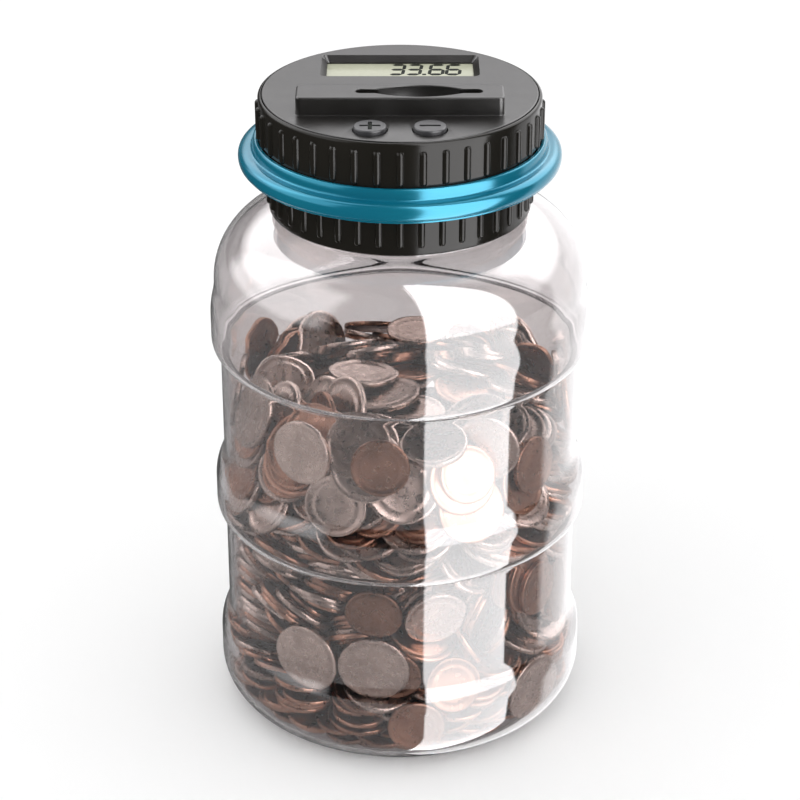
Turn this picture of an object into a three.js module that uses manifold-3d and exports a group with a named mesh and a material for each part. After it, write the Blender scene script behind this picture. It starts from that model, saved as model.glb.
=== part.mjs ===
// Digital coin counting jar: a clear jar, a screw lid that counts coins, and what is inside both.
// Millimetres, +Z up, the origin at the middle of the jar's base, the coin slot and buttons towards -Y.
import * as THREE from 'three';
import { mergeVertices } from 'three/addons/utils/BufferGeometryUtils.js';
import Module from 'manifold-3d';

const wasm = await Module();
wasm.setup();

// ---------- driving dimensions ----------

const GAP = 0.3; // between pieces that rest on each other or pass each other
const ROUND_STEPS = 40; // sides of the large turned pieces

// jar
const BULGE_RADIUS = 63.4;
const BELT_DEPTH = 3.0; // how far the belts between the bulges lie inside them
const BOTTLE_WALL = 1.6;
const BASE_CORNER = 14.5;
const BASE_DISH = 3.0; // rise of the base's middle
const CONTACT_WIDTH = 6.0; // flat ring that the jar stands on
const LOW_BULGE_HEIGHT = 23.0;
const BULGE_FLAT = 7.5; // straight stretch of a bulge's side
const BULGE_SLOPE = 12.5; // height over which a bulge's upper side falls back to the belt
const BELT_HEIGHT = 37.3;
const GROOVE_DEPTH = 1.2;
const LIP_HEIGHT = 3.8; // height of a bulge's curled lower lip
const SHOULDER_STEP = 1.5; // how far the shoulder's foot lies inside the top bulge
const SHOULDER_HEIGHT = 23.3;
const NECK_RADIUS = 39.0;
const NECK_HEIGHT = 17.6;
const PILE_DOME = 6.0; // rise of the coins' middle over their edge
const PILE_BELOW_LIP = 12.0; // how far the coins' edge lies below the top bulge's groove
const PILE_CLEARANCE = 0.6;
const PILE_BREAK = 0.6; // share of the pile's radius where its top grows steeper
const PILE_BREAK_RISE = 0.75; // share of the dome's rise reached there

// screw thread
const THREAD_STARTS = 2;
const THREAD_LEAD = 12.0;
const THREAD_DEPTH = 1.3;
const THREAD_ROOT = 2.4; // thickness at its root
const THREAD_CREST = 1.4;
const THREAD_SWEEP = 130; // degrees covered by each stretch of thread
const THREAD_STEPS = 14;
const THREAD_CLEARANCE = 0.6;
const THREAD_SINK = 0.5; // how far a thread's root is sunk into its wall
const COLLAR_CLEARANCE = 0.9; // between the jar's thread and the collar's bore
const THREAD_BELOW_MOUTH = 8.0; // from the mouth down to the jar thread's lower end

// lid
const LINER_THICKNESS = 1.7;
const COVER_THICKNESS = 2.0;
const COLLAR_WALL = 1.7;
const COLLAR_TOP = 1.7; // thickness of the flange inside the collar's top
const COLLAR_FLANGE = 2.8; // width of that flange
const SKIRT_DROP = 15.5; // how far the skirt reaches below the mouth
const RING_SEAT = 1.0; // the collar stands out this far where the trim ring sits
const RING_HEIGHT = 7.5; // the trim ring's height on the collar
const RING_WIDTH = 8.4;
const RING_COVERS_RIM = 2.2; // how far the trim ring reaches up over the rim
const RING_WALL = 1.7;
const RING_GROOVE = 0.7; // width of the groove between the ring's band and its roll
const RING_LIP = 2.0; // how far the ring's lower lip lies inside the roll
const RING_EDGE = 0.5; // thickness of its edges
const RIM_OVERHANG = 1.9; // how far the rim stands out over the collar's seat
const RIM_WALL = 2.6;
const RIM_HEIGHT = 16.5;
const RIM_LEDGE = 1.3; // the deck's edge rests on a ledge this much narrower than the deck
const DECK_THICKNESS = 2.4;
const RIBS = 40;
const RIB_RISE = 1.0;
const RIB_WIDTH = 2.3;
const RIB_END = 2.6; // bare wall past a rib's end
const RIB_SINK = 0.5; // how far a rib's foot is sunk into its wall
const RIB_FOOT = 1.4; // a rib's width at its foot, as a share of its width

// coin slot and its block
const BLOCK_LENGTH = 65.6;
const BLOCK_DEPTH = 12.5;
const BLOCK_HEIGHT = 6.0;
const BLOCK_CORNER = 1.8;
const BLOCK_Y = -16.25;
const SLOT_LENGTH = 40.0;
const SLOT_WIDTH = 3.5;
const SLOT_ROUNDING = 0.45; // the slot's corner radius, as a share of its width
const SLOT_X = 6.0; // the slot's middle, right of the lid's middle
const SCOOP_LENGTH = 33.0;
const SCOOP_WIDTH = 10.0;
const SCOOP_DEPTH = 5.0;

// display
const WINDOW_LENGTH = 48.0;
const WINDOW_WIDTH = 17.6;
const WINDOW_Y = 23.8;
const WINDOW_CORNER = 1.0;
const LCD_BORDER = 0.5;
const LCD_THICKNESS = 2.0;
const FRAME_WALL = 1.2;
const CONNECTOR_WIDTH = 3.0;

// buttons
const BUTTON_RADIUS = 5.2;
const BUTTON_X = 9.3;
const BUTTON_Y = -34.4;
const BUTTON_PROUD = 1.5;
const BUTTON_FLANGE = 1.0;
const BUTTON_FLANGE_HEIGHT = 1.7;
const BUTTON_TRAVEL = 1.0;
const BUTTON_CHAMFER = 0.4;
const STEM_RADIUS = 2.0;
const STEM_CLEARANCE = 0.1; // left between the stem and its dome when the button is down
const DOME_RADIUS = 3.0;
const DOME_HEIGHT = 0.5;
const BOARD_THICKNESS = 1.6;
const BOARD_EDGE = 1.2; // clear space between the board and the rim
const CHIP_RADIUS = 4.0;
const CHIP_HEIGHT = 1.0;
const CHIP_X = 10.0;
const CHIP_Y = 2.0;

// coin gauge
const CHUTE_WIDTH = 4.8;
const CHUTE_WALL = 1.4;
const CHUTE_END = 1.0; // chute past the slot's free end
const LEVER_HOUSE = 11.0; // chute past the slot's other end, where the lever sits
const LEVER_INSET = 3.5; // from the slot's end to the lever's pin
const LEVER_DROP = 12.5; // from the deck's top down to the pin
const LEVER_HUB = 2.6;
const LEVER_THICKNESS = 3.0;
const LEVER_GATE = 16.0; // width left open for a coin that moves nothing
const LEVER_RISE = 8; // degrees that the finger points up at rest
const LEVER_TIP = 0.8;
const TAIL_HALF = 1.2;
const PIN_RADIUS = 0.9;
const PIN_PAST_WALL = 1.2;
const SPRING_RADIUS = 1.4;
const SPRING_WIRE = 0.25;
const SPRING_TURNS = 4;
const SENSOR_LENGTH = 4.5;
const SENSOR_HEIGHT = 6.5;

// batteries (AAA)
const BATTERY_RADIUS = 5.15;
const BATTERY_LENGTH = 43.3;
const BATTERY_NIPPLE = 1.2;
const NIPPLE_RADIUS = 1.9;
const BATTERY_SPACING = 12.0;
const BAY_Y = 9.0;
const BAY_WALL = 1.2;
const BAY_SIDE = 0.85; // clear space beside the batteries
const CONTACT_ROOM = 2.2;
const CONTACT_THICKNESS = 0.5;
const CONTACT_WIRE = 0.2;
const CONTACT_COIL = 3.0;
const CONTACT_TURNS = 2;
const DOOR_THICKNESS = 1.2;
const DOOR_PIN_RADIUS = 0.6;
const DOOR_BARREL = 0.95;
const DOOR_SWING_ROOM = 2.3; // from the bay's front edge to the door's pins
const DOOR_PIN_RISE = 1.8; // from the cover's underside up to the pins

// screws that hold the inner cover
const SCREW_RADIUS = 1.3;
const SCREW_HEAD_RADIUS = 2.4;
const SCREW_HEAD_HEIGHT = 1.1;
const SCREW_REACH = 5.5; // length inside the post
const POST_RADIUS = 3.0;
const SCREW_SIDE = [33.0, 6.0];
const SCREW_FRONT = [20.0, -28.0];

// ---------- heights, from the base up ----------

const MID_GROOVE_Z = LOW_BULGE_HEIGHT + BULGE_SLOPE + BELT_HEIGHT;
const MID_TOP_Z = MID_GROOVE_Z + LIP_HEIGHT + BULGE_FLAT + BULGE_SLOPE;
const TOP_GROOVE_Z = MID_TOP_Z + BELT_HEIGHT;
const SHOULDER_Z = TOP_GROOVE_Z + LIP_HEIGHT + BULGE_FLAT + BULGE_SLOPE;
const NECK_Z = SHOULDER_Z + SHOULDER_HEIGHT;
const MOUTH_Z = NECK_Z + NECK_HEIGHT;
const LINER_Z = MOUTH_Z + GAP;
const COVER_Z = LINER_Z + LINER_THICKNESS + GAP;
const COVER_TOP_Z = COVER_Z + COVER_THICKNESS;
const FLANGE_Z = COVER_TOP_Z + GAP;
const COLLAR_TOP_Z = FLANGE_Z + COLLAR_TOP;
const SKIRT_Z = MOUTH_Z - SKIRT_DROP;
const RING_Z = COLLAR_TOP_Z - RING_HEIGHT;
const RIM_Z = COLLAR_TOP_Z + GAP;
const RIM_TOP_Z = RIM_Z + RIM_HEIGHT;
const RING_TOP_Z = RIM_Z + RING_COVERS_RIM;
const DECK_Z = RIM_TOP_Z + GAP;
const DECK_UNDER_Z = DECK_Z - DECK_THICKNESS;
const LCD_Z = DECK_UNDER_Z - GAP - LCD_THICKNESS;
const FLANGE_TOP_Z = DECK_UNDER_Z - GAP;
const BUTTON_FLANGE_Z = FLANGE_TOP_Z - BUTTON_FLANGE_HEIGHT;
const BATTERY_Z = COVER_Z + DOOR_THICKNESS + GAP + BATTERY_RADIUS;
const BOARD_Z = BATTERY_Z + BATTERY_RADIUS + 2 * GAP;
const BOARD_TOP_Z = BOARD_Z + BOARD_THICKNESS;
const DOME_TOP_Z = BOARD_TOP_Z + GAP + DOME_HEIGHT;

// ---------- radii of the lid, from the neck out ----------

const MOUTH_RADIUS = NECK_RADIUS - BOTTLE_WALL;
const COLLAR_BORE = NECK_RADIUS + THREAD_DEPTH + COLLAR_CLEARANCE;
const COVER_RADIUS = COLLAR_BORE - GAP;
const SKIRT_RADIUS = COLLAR_BORE + COLLAR_WALL;
const SEAT_RADIUS = SKIRT_RADIUS + RING_SEAT;
const RIM_RADIUS = SEAT_RADIUS + RIM_OVERHANG;
const RIM_BORE = RIM_RADIUS - RIM_WALL;
const DECK_BORE = RIM_BORE + RIM_LEDGE + GAP;
const DECK_RADIUS = RIM_BORE + RIM_LEDGE;
const RING_RADIUS = SEAT_RADIUS + GAP + RING_WIDTH;

// ---------- helpers ----------

const WELD = 1e-4;

function signedVolume(points, triangles) {
  const corners = [new THREE.Vector3(), new THREE.Vector3(), new THREE.Vector3()];
  let sum = 0;
  for (let i = 0; i < triangles.length; i += 3) {
    corners.forEach((corner, k) => corner.fromArray(points, 3 * triangles[i + k]));
    sum += corners[0].dot(corners[1].cross(corners[2]));
  }
  return sum;
}

// a closed three.js geometry as a solid, its faces turned outwards
function solid(geometry) {
  geometry.deleteAttribute('normal');
  geometry.deleteAttribute('uv');
  const welded = mergeVertices(geometry, WELD);
  const points = welded.attributes.position.array;
  const index = welded.index.array;
  const triangles = [];
  for (let i = 0; i < index.length; i += 3) {
    const [a, b, c] = index.slice(i, i + 3);
    if (a !== b && b !== c && c !== a) triangles.push(a, b, c);
  }
  if (signedVolume(points, triangles) < 0) triangles.reverse();
  const mesh = new wasm.Mesh({
    numProp: 3,
    vertProperties: new Float32Array(points),
    triVerts: new Uint32Array(triangles),
  });
  return new wasm.Manifold(mesh);
}

function geometryOf(body) {
  const { vertProperties, triVerts } = body.getMesh();
  const geometry = new THREE.BufferGeometry();
  geometry.setAttribute('position', new THREE.BufferAttribute(vertProperties, 3));
  geometry.setIndex(new THREE.BufferAttribute(triVerts, 1));
  geometry.computeVertexNormals();
  return geometry;
}

// a profile of [radius, height] points turned about the Z axis
function turned(profile, steps = ROUND_STEPS) {
  const points = profile.map(([radius, height]) => new THREE.Vector2(radius, height));
  return solid(new THREE.LatheGeometry(points, steps).rotateX(Math.PI / 2));
}

function ring(inner, outer, low, high, steps = ROUND_STEPS) {
  return turned([[inner, low], [outer, low], [outer, high], [inner, high], [inner, low]], steps);
}

function disc(radius, low, high, steps = ROUND_STEPS) {
  return turned([[0, low], [radius, low], [radius, high], [0, high]], steps);
}

function box(x0, x1, y0, y1, z0, z1) {
  const geometry = new THREE.BoxGeometry(x1 - x0, y1 - y0, z1 - z0);
  return solid(geometry.translate((x0 + x1) / 2, (y0 + y1) / 2, (z0 + z1) / 2));
}

function extruded(shape, low, high, curveSegments = 6) {
  const geometry = new THREE.ExtrudeGeometry(shape, { depth: high - low, bevelEnabled: false, curveSegments });
  return solid(geometry.translate(0, 0, low));
}

function roundedRectangle(x, y, length, width, corner) {
  const [a, b] = [length / 2, width / 2];
  const shape = new THREE.Shape();
  shape.absarc(x + a - corner, y + b - corner, corner, 0, Math.PI / 2);
  shape.absarc(x - a + corner, y + b - corner, corner, Math.PI / 2, Math.PI);
  shape.absarc(x - a + corner, y - b + corner, corner, Math.PI, 1.5 * Math.PI);
  shape.absarc(x + a - corner, y - b + corner, corner, 1.5 * Math.PI, 2 * Math.PI);
  return shape;
}

// a bar along X, turned from a profile of [radius, place along X]
function turnedAlongX(profile, y, z, steps) {
  const points = profile.map(([radius, x]) => new THREE.Vector2(radius, x));
  return solid(new THREE.LatheGeometry(points, steps).rotateZ(-Math.PI / 2).translate(0, y, z));
}

// a round wire that follows a coil of the given radius about the Z axis, standing on z = 0
function coil(radius, wire, turns, length, stepsPerTurn = 9, sides = 5) {
  const route = new THREE.Curve();
  route.getPoint = (t) => {
    const angle = 2 * Math.PI * turns * t;
    const rise = wire + (length - 2 * wire) * t;
    return new THREE.Vector3(radius * Math.cos(angle), radius * Math.sin(angle), rise);
  };
  const section = new THREE.Shape(
    Array.from({ length: sides }, (_, i) => {
      const angle = (2 * Math.PI * i) / sides;
      return new THREE.Vector2(wire * Math.cos(angle), wire * Math.sin(angle));
    }),
  );
  return new THREE.ExtrudeGeometry(section, { steps: stepsPerTurn * turns, extrudePath: route });
}

// one stretch of screw thread: a bar with a tapered section, wound up a helix and thinned at its ends
function threadStretch(root, crest, middleZ, startAngle) {
  const bar = new THREE.BoxGeometry(1, 1, 1, 1, 1, THREAD_STEPS);
  const place = bar.attributes.position;
  const sweep = THREE.MathUtils.degToRad(THREAD_SWEEP);
  const endShare = 0.15;
  const endRise = 0.5;
  for (let i = 0; i < place.count; i++) {
    const across = place.getX(i) + 0.5;
    const along = place.getZ(i);
    const fade = endRise + (1 - endRise) * Math.min(1, (0.5 - Math.abs(along)) / endShare);
    const thickness = THREAD_ROOT + (THREAD_CREST - THREAD_ROOT) * across;
    const radius = root + (crest - root) * across * fade;
    const angle = startAngle + sweep * along;
    const height = middleZ + THREAD_LEAD * ((sweep * along) / (2 * Math.PI)) + thickness * place.getY(i);
    place.setXYZ(i, radius * Math.cos(angle), radius * Math.sin(angle), height);
  }
  return solid(bar);
}

function withThread(body, root, crest, middleZ, turnedBy) {
  let threaded = body;
  for (let i = 0; i < THREAD_STARTS; i++) {
    const start = turnedBy + (2 * Math.PI * i) / THREAD_STARTS;
    threaded = threaded.add(threadStretch(root, crest, middleZ, start));
  }
  return threaded;
}

// ribs round a wall, each a low ridge with sloped flanks and ends
function withRibs(body, wallRadius, low, high) {
  const outline = [];
  const foot = wallRadius - RIB_SINK;
  for (let i = 0; i < RIBS; i++) {
    const angle = (2 * Math.PI * i) / RIBS;
    const half = RIB_WIDTH / 2 / wallRadius;
    outline.push([foot, angle - RIB_FOOT * half], [wallRadius + RIB_RISE, angle - half / 2]);
    outline.push([wallRadius + RIB_RISE, angle + half / 2], [foot, angle + RIB_FOOT * half]);
  }
  const points = outline.map(([r, a]) => new THREE.Vector2(r * Math.cos(a), r * Math.sin(a)));
  const ribs = extruded(new THREE.Shape(points), low, high);
  const slope = RIB_RISE;
  const inside = foot - 1;
  const envelope = turned([
    [inside, low],
    [wallRadius, low],
    [wallRadius + RIB_RISE + GAP, low + slope],
    [wallRadius + RIB_RISE + GAP, high - slope],
    [wallRadius, high],
    [inside, high],
    [inside, low],
  ]);
  return body.add(ribs.intersect(envelope));
}

const jar = new THREE.Group();

function piece(name, body, color, roughness, metalness = 0, opacity = 1) {
  const geometry = body.isBufferGeometry ? body : geometryOf(body);
  const material = new THREE.MeshStandardMaterial({ color, roughness, metalness });
  material.opacity = opacity;
  material.transparent = opacity < 1;
  const mesh = new THREE.Mesh(geometry, material);
  mesh.name = name;
  jar.add(mesh);
  return mesh;
}

const BLACK = 0x17181a;
const STEEL = 0xb9bcc0;

// ---------- jar ----------

// upper side of a bulge: a smooth fall from the bulge's radius to a smaller one
function bulgeFall(path, from, to, z, height) {
  path.bezierCurveTo(from, z + 0.45 * height, to, z + 0.55 * height, to, z + height);
}

// curled lower lip of a bulge, with the groove under it
function bulgeLip(path, belt, bulge, z) {
  path.lineTo(belt, z - GROOVE_DEPTH);
  path.lineTo(belt - GROOVE_DEPTH, z);
  path.quadraticCurveTo(bulge, z, bulge, z + LIP_HEIGHT);
  path.lineTo(bulge, z + LIP_HEIGHT + BULGE_FLAT);
}

// the jar's outline from the middle of its base to its mouth, moved in by inset
function bottleOutline(inset, divisions) {
  const bulge = BULGE_RADIUS - inset;
  const belt = bulge - BELT_DEPTH;
  const shoulder = bulge - SHOULDER_STEP;
  const contact = BULGE_RADIUS - BASE_CORNER;
  const dishFoot = contact - CONTACT_WIDTH + (Math.SQRT2 - 1) * inset;
  const neck = NECK_RADIUS - inset;
  const path = new THREE.Path();
  path.moveTo(0, BASE_DISH + inset);
  path.lineTo(dishFoot - BASE_DISH, BASE_DISH + inset);
  path.lineTo(dishFoot, inset);
  path.lineTo(contact, inset);
  path.absarc(contact, BASE_CORNER, BASE_CORNER - inset, -Math.PI / 2, 0);
  path.lineTo(bulge, LOW_BULGE_HEIGHT);
  bulgeFall(path, bulge, belt, LOW_BULGE_HEIGHT, BULGE_SLOPE);
  bulgeLip(path, belt, bulge, MID_GROOVE_Z);
  bulgeFall(path, bulge, belt, MID_TOP_Z - BULGE_SLOPE, BULGE_SLOPE);
  bulgeLip(path, belt, bulge, TOP_GROOVE_Z);
  bulgeFall(path, bulge, shoulder, SHOULDER_Z - BULGE_SLOPE, BULGE_SLOPE);
  path.absellipse(neck, SHOULDER_Z, shoulder - neck, SHOULDER_HEIGHT - inset, 0, Math.PI / 2);
  return path.getPoints(divisions).map((point) => [point.x, point.y]);
}

function bottle() {
  const outside = [...bottleOutline(0, 3), [NECK_RADIUS, MOUTH_Z]];
  const inside = [...bottleOutline(BOTTLE_WALL, 2), [MOUTH_RADIUS, MOUTH_Z]];
  const body = turned([...outside, ...inside.reverse()]);
  const threadZ = MOUTH_Z - THREAD_BELOW_MOUTH;
  return withThread(body, NECK_RADIUS - THREAD_SINK, NECK_RADIUS + THREAD_DEPTH, threadZ, 0);
}
piece('jar_bottle', bottle(), 0xf1ecec, 0.04, 0, 0.35);

// the coins, as one heap that stands on the jar's floor and fills its belts
function coinPile() {
  const inset = BOTTLE_WALL + PILE_CLEARANCE;
  const edge = BULGE_RADIUS - BELT_DEPTH - GROOVE_DEPTH - inset;
  const edgeZ = TOP_GROOVE_Z - PILE_BELOW_LIP;
  const floor = BASE_DISH + inset;
  return turned([
    [0, floor],
    [BULGE_RADIUS - BASE_CORNER, floor],
    [edge, BASE_CORNER],
    [edge, edgeZ],
    [PILE_BREAK * edge, edgeZ + PILE_BREAK_RISE * PILE_DOME],
    [0, edgeZ + PILE_DOME],
  ], 24);
}
piece('coin_pile', coinPile(), 0x9a6a50, 0.35, 1);

// ---------- lid: seal, collar, ring, rim ----------

piece('seal_liner', ring(MOUTH_RADIUS, COVER_RADIUS, LINER_Z, LINER_Z + LINER_THICKNESS), 0xe9e7e2, 0.8);

function screwCollar() {
  const flangeBore = COLLAR_BORE - COLLAR_FLANGE;
  const body = turned([
    [COLLAR_BORE, SKIRT_Z],
    [SKIRT_RADIUS, SKIRT_Z],
    [SKIRT_RADIUS, RING_Z - GAP],
    [SEAT_RADIUS, RING_Z - GAP],
    [SEAT_RADIUS, COLLAR_TOP_Z],
    [flangeBore, COLLAR_TOP_Z],
    [flangeBore, FLANGE_Z],
    [COLLAR_BORE, FLANGE_Z],
    [COLLAR_BORE, SKIRT_Z],
  ]);
  const ribbed = withRibs(body, SKIRT_RADIUS, SKIRT_Z + RIB_END, RING_Z - GAP);
  const quarter = Math.PI / THREAD_STARTS;
  const threadZ = MOUTH_Z - THREAD_BELOW_MOUTH + (THREAD_LEAD * quarter) / (2 * Math.PI);
  const pitch = THREAD_LEAD / THREAD_STARTS;
  const crest = NECK_RADIUS + THREAD_CLEARANCE;
  return withThread(ribbed, COLLAR_BORE + THREAD_SINK, crest, threadZ - pitch / 2, quarter);
}
piece('screw_collar', screwCollar(), BLACK, 0.32);

// the ring's outline: an upright band, a groove, and a wide roll that curls under to a thin lip
function trimRing() {
  const seat = SEAT_RADIUS + GAP;
  const over = RIM_RADIUS + GAP;
  const rollZ = RING_Z + 0.5 * RING_HEIGHT;
  const groove = over + RING_WALL + RING_GROOVE;
  const lip = RING_RADIUS - RING_LIP;
  const path = new THREE.Path();
  path.moveTo(seat, RING_Z);
  path.lineTo(lip, RING_Z);
  path.lineTo(lip, RING_Z + RING_EDGE);
  path.quadraticCurveTo(RING_RADIUS, RING_Z + 3 * RING_EDGE, RING_RADIUS, rollZ + RING_EDGE);
  path.quadraticCurveTo(RING_RADIUS, COLLAR_TOP_Z - 2 * RING_EDGE, groove, COLLAR_TOP_Z - 2 * RING_EDGE);
  path.lineTo(over + RING_WALL, COLLAR_TOP_Z - RING_EDGE);
  path.lineTo(over + RING_WALL, RING_TOP_Z - RING_EDGE);
  path.lineTo(over + RING_WALL - RING_EDGE, RING_TOP_Z);
  path.lineTo(over, RING_TOP_Z);
  path.lineTo(over, COLLAR_TOP_Z);
  path.lineTo(seat, COLLAR_TOP_Z);
  path.lineTo(seat, RING_Z);
  return turned(path.getPoints(2).map((point) => [point.x, point.y]));
}
piece('trim_ring', trimRing(), 0x2aa6bd, 0.22, 1);

function capRim() {
  const topRound = 1.0;
  const body = turned([
    [RIM_BORE, RIM_Z],
    [RIM_RADIUS, RIM_Z],
    [RIM_RADIUS, RIM_TOP_Z - topRound],
    [RIM_RADIUS - topRound, RIM_TOP_Z],
    [DECK_BORE, RIM_TOP_Z],
    [DECK_BORE, DECK_UNDER_Z - GAP],
    [RIM_BORE, DECK_UNDER_Z - GAP],
    [RIM_BORE, RIM_Z],
  ]);
  return withRibs(body, RIM_RADIUS, RING_TOP_Z + GAP, RIM_TOP_Z - RIB_END);
}
piece('cap_rim', capRim(), BLACK, 0.32);

// ---------- lid: deck with the coin slot ----------

// an outline like a lens: two shallow arcs that meet at the ends
function lens(x, y, length, width) {
  const half = length / 2;
  const sag = width / 2;
  const arcRadius = (half * half + sag * sag) / (2 * sag);
  const spread = Math.asin(half / arcRadius);
  const up = Math.PI / 2;
  const shape = new THREE.Shape();
  shape.absarc(x, y - arcRadius + sag, arcRadius, up - spread, up + spread);
  shape.absarc(x, y + arcRadius - sag, arcRadius, -up - spread, -up + spread);
  return shape;
}

function screwPlaces() {
  return [SCREW_SIDE, SCREW_FRONT].flatMap(([x, y]) => [[x, y], [-x, y]]);
}

function deck() {
  const blockTop = DECK_Z + BLOCK_HEIGHT;
  const above = blockTop + 1;
  const below = DECK_UNDER_Z - 1;
  const block = roundedRectangle(0, BLOCK_Y, BLOCK_LENGTH, BLOCK_DEPTH, BLOCK_CORNER);
  let body = disc(DECK_RADIUS, DECK_UNDER_Z, DECK_Z);
  body = body.add(extruded(block, DECK_UNDER_Z + 1, blockTop));
  const slot = roundedRectangle(SLOT_X, BLOCK_Y, SLOT_LENGTH, SLOT_WIDTH, SLOT_ROUNDING * SLOT_WIDTH);
  body = body.subtract(extruded(slot, below, above));
  body = body.subtract(extruded(lens(SLOT_X, BLOCK_Y, SCOOP_LENGTH, SCOOP_WIDTH), blockTop - SCOOP_DEPTH, above));
  const window = roundedRectangle(0, WINDOW_Y, WINDOW_LENGTH, WINDOW_WIDTH, WINDOW_CORNER);
  body = body.subtract(extruded(window, below, above, 2));
  for (const side of [-1, 1]) {
    const hole = disc(BUTTON_RADIUS + GAP, below, above, 20);
    body = body.subtract(hole.translate([side * BUTTON_X, BUTTON_Y, 0]));
  }
  for (const [x, y] of screwPlaces()) {
    const post = disc(POST_RADIUS, COVER_TOP_Z + GAP, DECK_UNDER_Z + 1, 12);
    const bore = disc(SCREW_RADIUS + GAP, COVER_TOP_Z, COVER_TOP_Z + SCREW_REACH + 1, 8);
    body = body.add(post.translate([x, y, 0])).subtract(bore.translate([x, y, 0]));
  }
  return body;
}
piece('deck_plate', deck(), 0x2b2c2e, 0.3);

// ---------- buttons ----------

function button() {
  const top = DECK_Z + BUTTON_PROUD;
  const stemZ = DOME_TOP_Z + BUTTON_TRAVEL + STEM_CLEARANCE;
  return turned([
    [0, stemZ],
    [STEM_RADIUS, stemZ],
    [STEM_RADIUS, BUTTON_FLANGE_Z],
    [BUTTON_RADIUS + BUTTON_FLANGE, BUTTON_FLANGE_Z],
    [BUTTON_RADIUS + BUTTON_FLANGE, FLANGE_TOP_Z],
    [BUTTON_RADIUS, FLANGE_TOP_Z],
    [BUTTON_RADIUS, top - BUTTON_CHAMFER],
    [BUTTON_RADIUS - BUTTON_CHAMFER, top],
    [0, top],
  ], 16);
}

for (const [sign, side] of [['plus', -1], ['minus', 1]]) {
  piece(`button_${sign}`, button().translate([side * BUTTON_X, BUTTON_Y, 0]), 0x3a3b3d, 0.4);
  const dome = disc(DOME_RADIUS, BOARD_TOP_Z + GAP, DOME_TOP_Z, 12);
  piece(`dome_switch_${sign}`, dome.translate([side * BUTTON_X, BUTTON_Y, 0]), STEEL, 0.3, 1);
}

// ---------- coin gauge ----------

const SLOT_LEFT = SLOT_X - SLOT_LENGTH / 2;
const SLOT_RIGHT = SLOT_X + SLOT_LENGTH / 2;
const CHUTE_LEFT = SLOT_LEFT - LEVER_HOUSE;
const CHUTE_RIGHT = SLOT_RIGHT + CHUTE_END;
const PIVOT_X = SLOT_LEFT - LEVER_INSET;
const PIVOT_Z = DECK_Z - LEVER_DROP;
const CHUTE_HALF = CHUTE_WIDTH / 2;
const SPRING_X = PIVOT_X - LEVER_HUB - GAP - SPRING_RADIUS - SPRING_WIRE;
const TAIL_X = SPRING_X - SPRING_RADIUS - SPRING_WIRE;

// a bar along Y through the lever's pivot
function pivotBar(radius, halfLength, steps) {
  const bar = new THREE.CylinderGeometry(radius, radius, 2 * halfLength, steps);
  return solid(bar.translate(PIVOT_X, BLOCK_Y, PIVOT_Z));
}

function chute() {
  const [left, right] = [CHUTE_LEFT - CHUTE_WALL, CHUTE_RIGHT + CHUTE_WALL];
  const half = CHUTE_HALF + CHUTE_WALL;
  const [low, high] = [COVER_TOP_Z + GAP, DECK_UNDER_Z - GAP];
  const outside = box(left, right, BLOCK_Y - half, BLOCK_Y + half, low, high);
  const inside = box(CHUTE_LEFT, CHUTE_RIGHT, BLOCK_Y - CHUTE_HALF, BLOCK_Y + CHUTE_HALF, low - 1, high + 1);
  return outside.subtract(inside).subtract(pivotBar(PIN_RADIUS + GAP, half + 1, 12));
}
piece('coin_chute', chute(), 0x2b2c2e, 0.5);
piece('lever_pin', pivotBar(PIN_RADIUS, CHUTE_HALF + CHUTE_WALL + PIN_PAST_WALL, 12), STEEL, 0.25, 1);

// the finger crosses the coin's way, and the tail behind the pin takes the spring
function lever() {
  const finger = SLOT_RIGHT - LEVER_GATE - PIVOT_X;
  const rise = THREE.MathUtils.degToRad(LEVER_RISE);
  const shape = new THREE.Shape();
  shape.moveTo(0, -LEVER_HUB);
  shape.lineTo(finger - LEVER_TIP, -LEVER_TIP);
  shape.lineTo(finger, 0);
  shape.lineTo(finger - LEVER_TIP, LEVER_TIP);
  shape.lineTo(0, LEVER_HUB);
  shape.closePath();
  const half = LEVER_THICKNESS / 2;
  const arm = new THREE.ExtrudeGeometry(shape, { depth: LEVER_THICKNESS, bevelEnabled: false });
  arm.translate(0, 0, -half).rotateX(Math.PI / 2).rotateY(-rise).translate(PIVOT_X, BLOCK_Y, PIVOT_Z);
  const [y0, y1] = [BLOCK_Y - half, BLOCK_Y + half];
  const tail = box(TAIL_X, PIVOT_X, y0, y1, PIVOT_Z - TAIL_HALF, PIVOT_Z + TAIL_HALF);
  const body = solid(arm).add(pivotBar(LEVER_HUB, half, 16)).add(tail);
  return body.subtract(pivotBar(PIN_RADIUS + GAP, half + 1, 12));
}
piece('gauge_lever', lever(), 0xd8d6cf, 0.4);

const leverSpringZ = PIVOT_Z + TAIL_HALF + GAP;
const leverSpring = coil(SPRING_RADIUS, SPRING_WIRE, SPRING_TURNS, FLANGE_TOP_Z - GAP - leverSpringZ);
leverSpring.translate(SPRING_X, BLOCK_Y, leverSpringZ);
piece('lever_spring', solid(leverSpring), STEEL, 0.25, 1);

const sensorRight = CHUTE_LEFT - CHUTE_WALL - GAP;
const sensorTop = BOARD_Z - GAP;
const sensor = box(
  sensorRight - SENSOR_LENGTH,
  sensorRight,
  BLOCK_Y - CHUTE_HALF,
  BLOCK_Y + CHUTE_HALF,
  sensorTop - SENSOR_HEIGHT,
  sensorTop,
);
piece('position_sensor', sensor, 0x1b1b1d, 0.6);

// ---------- display and board ----------

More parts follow.
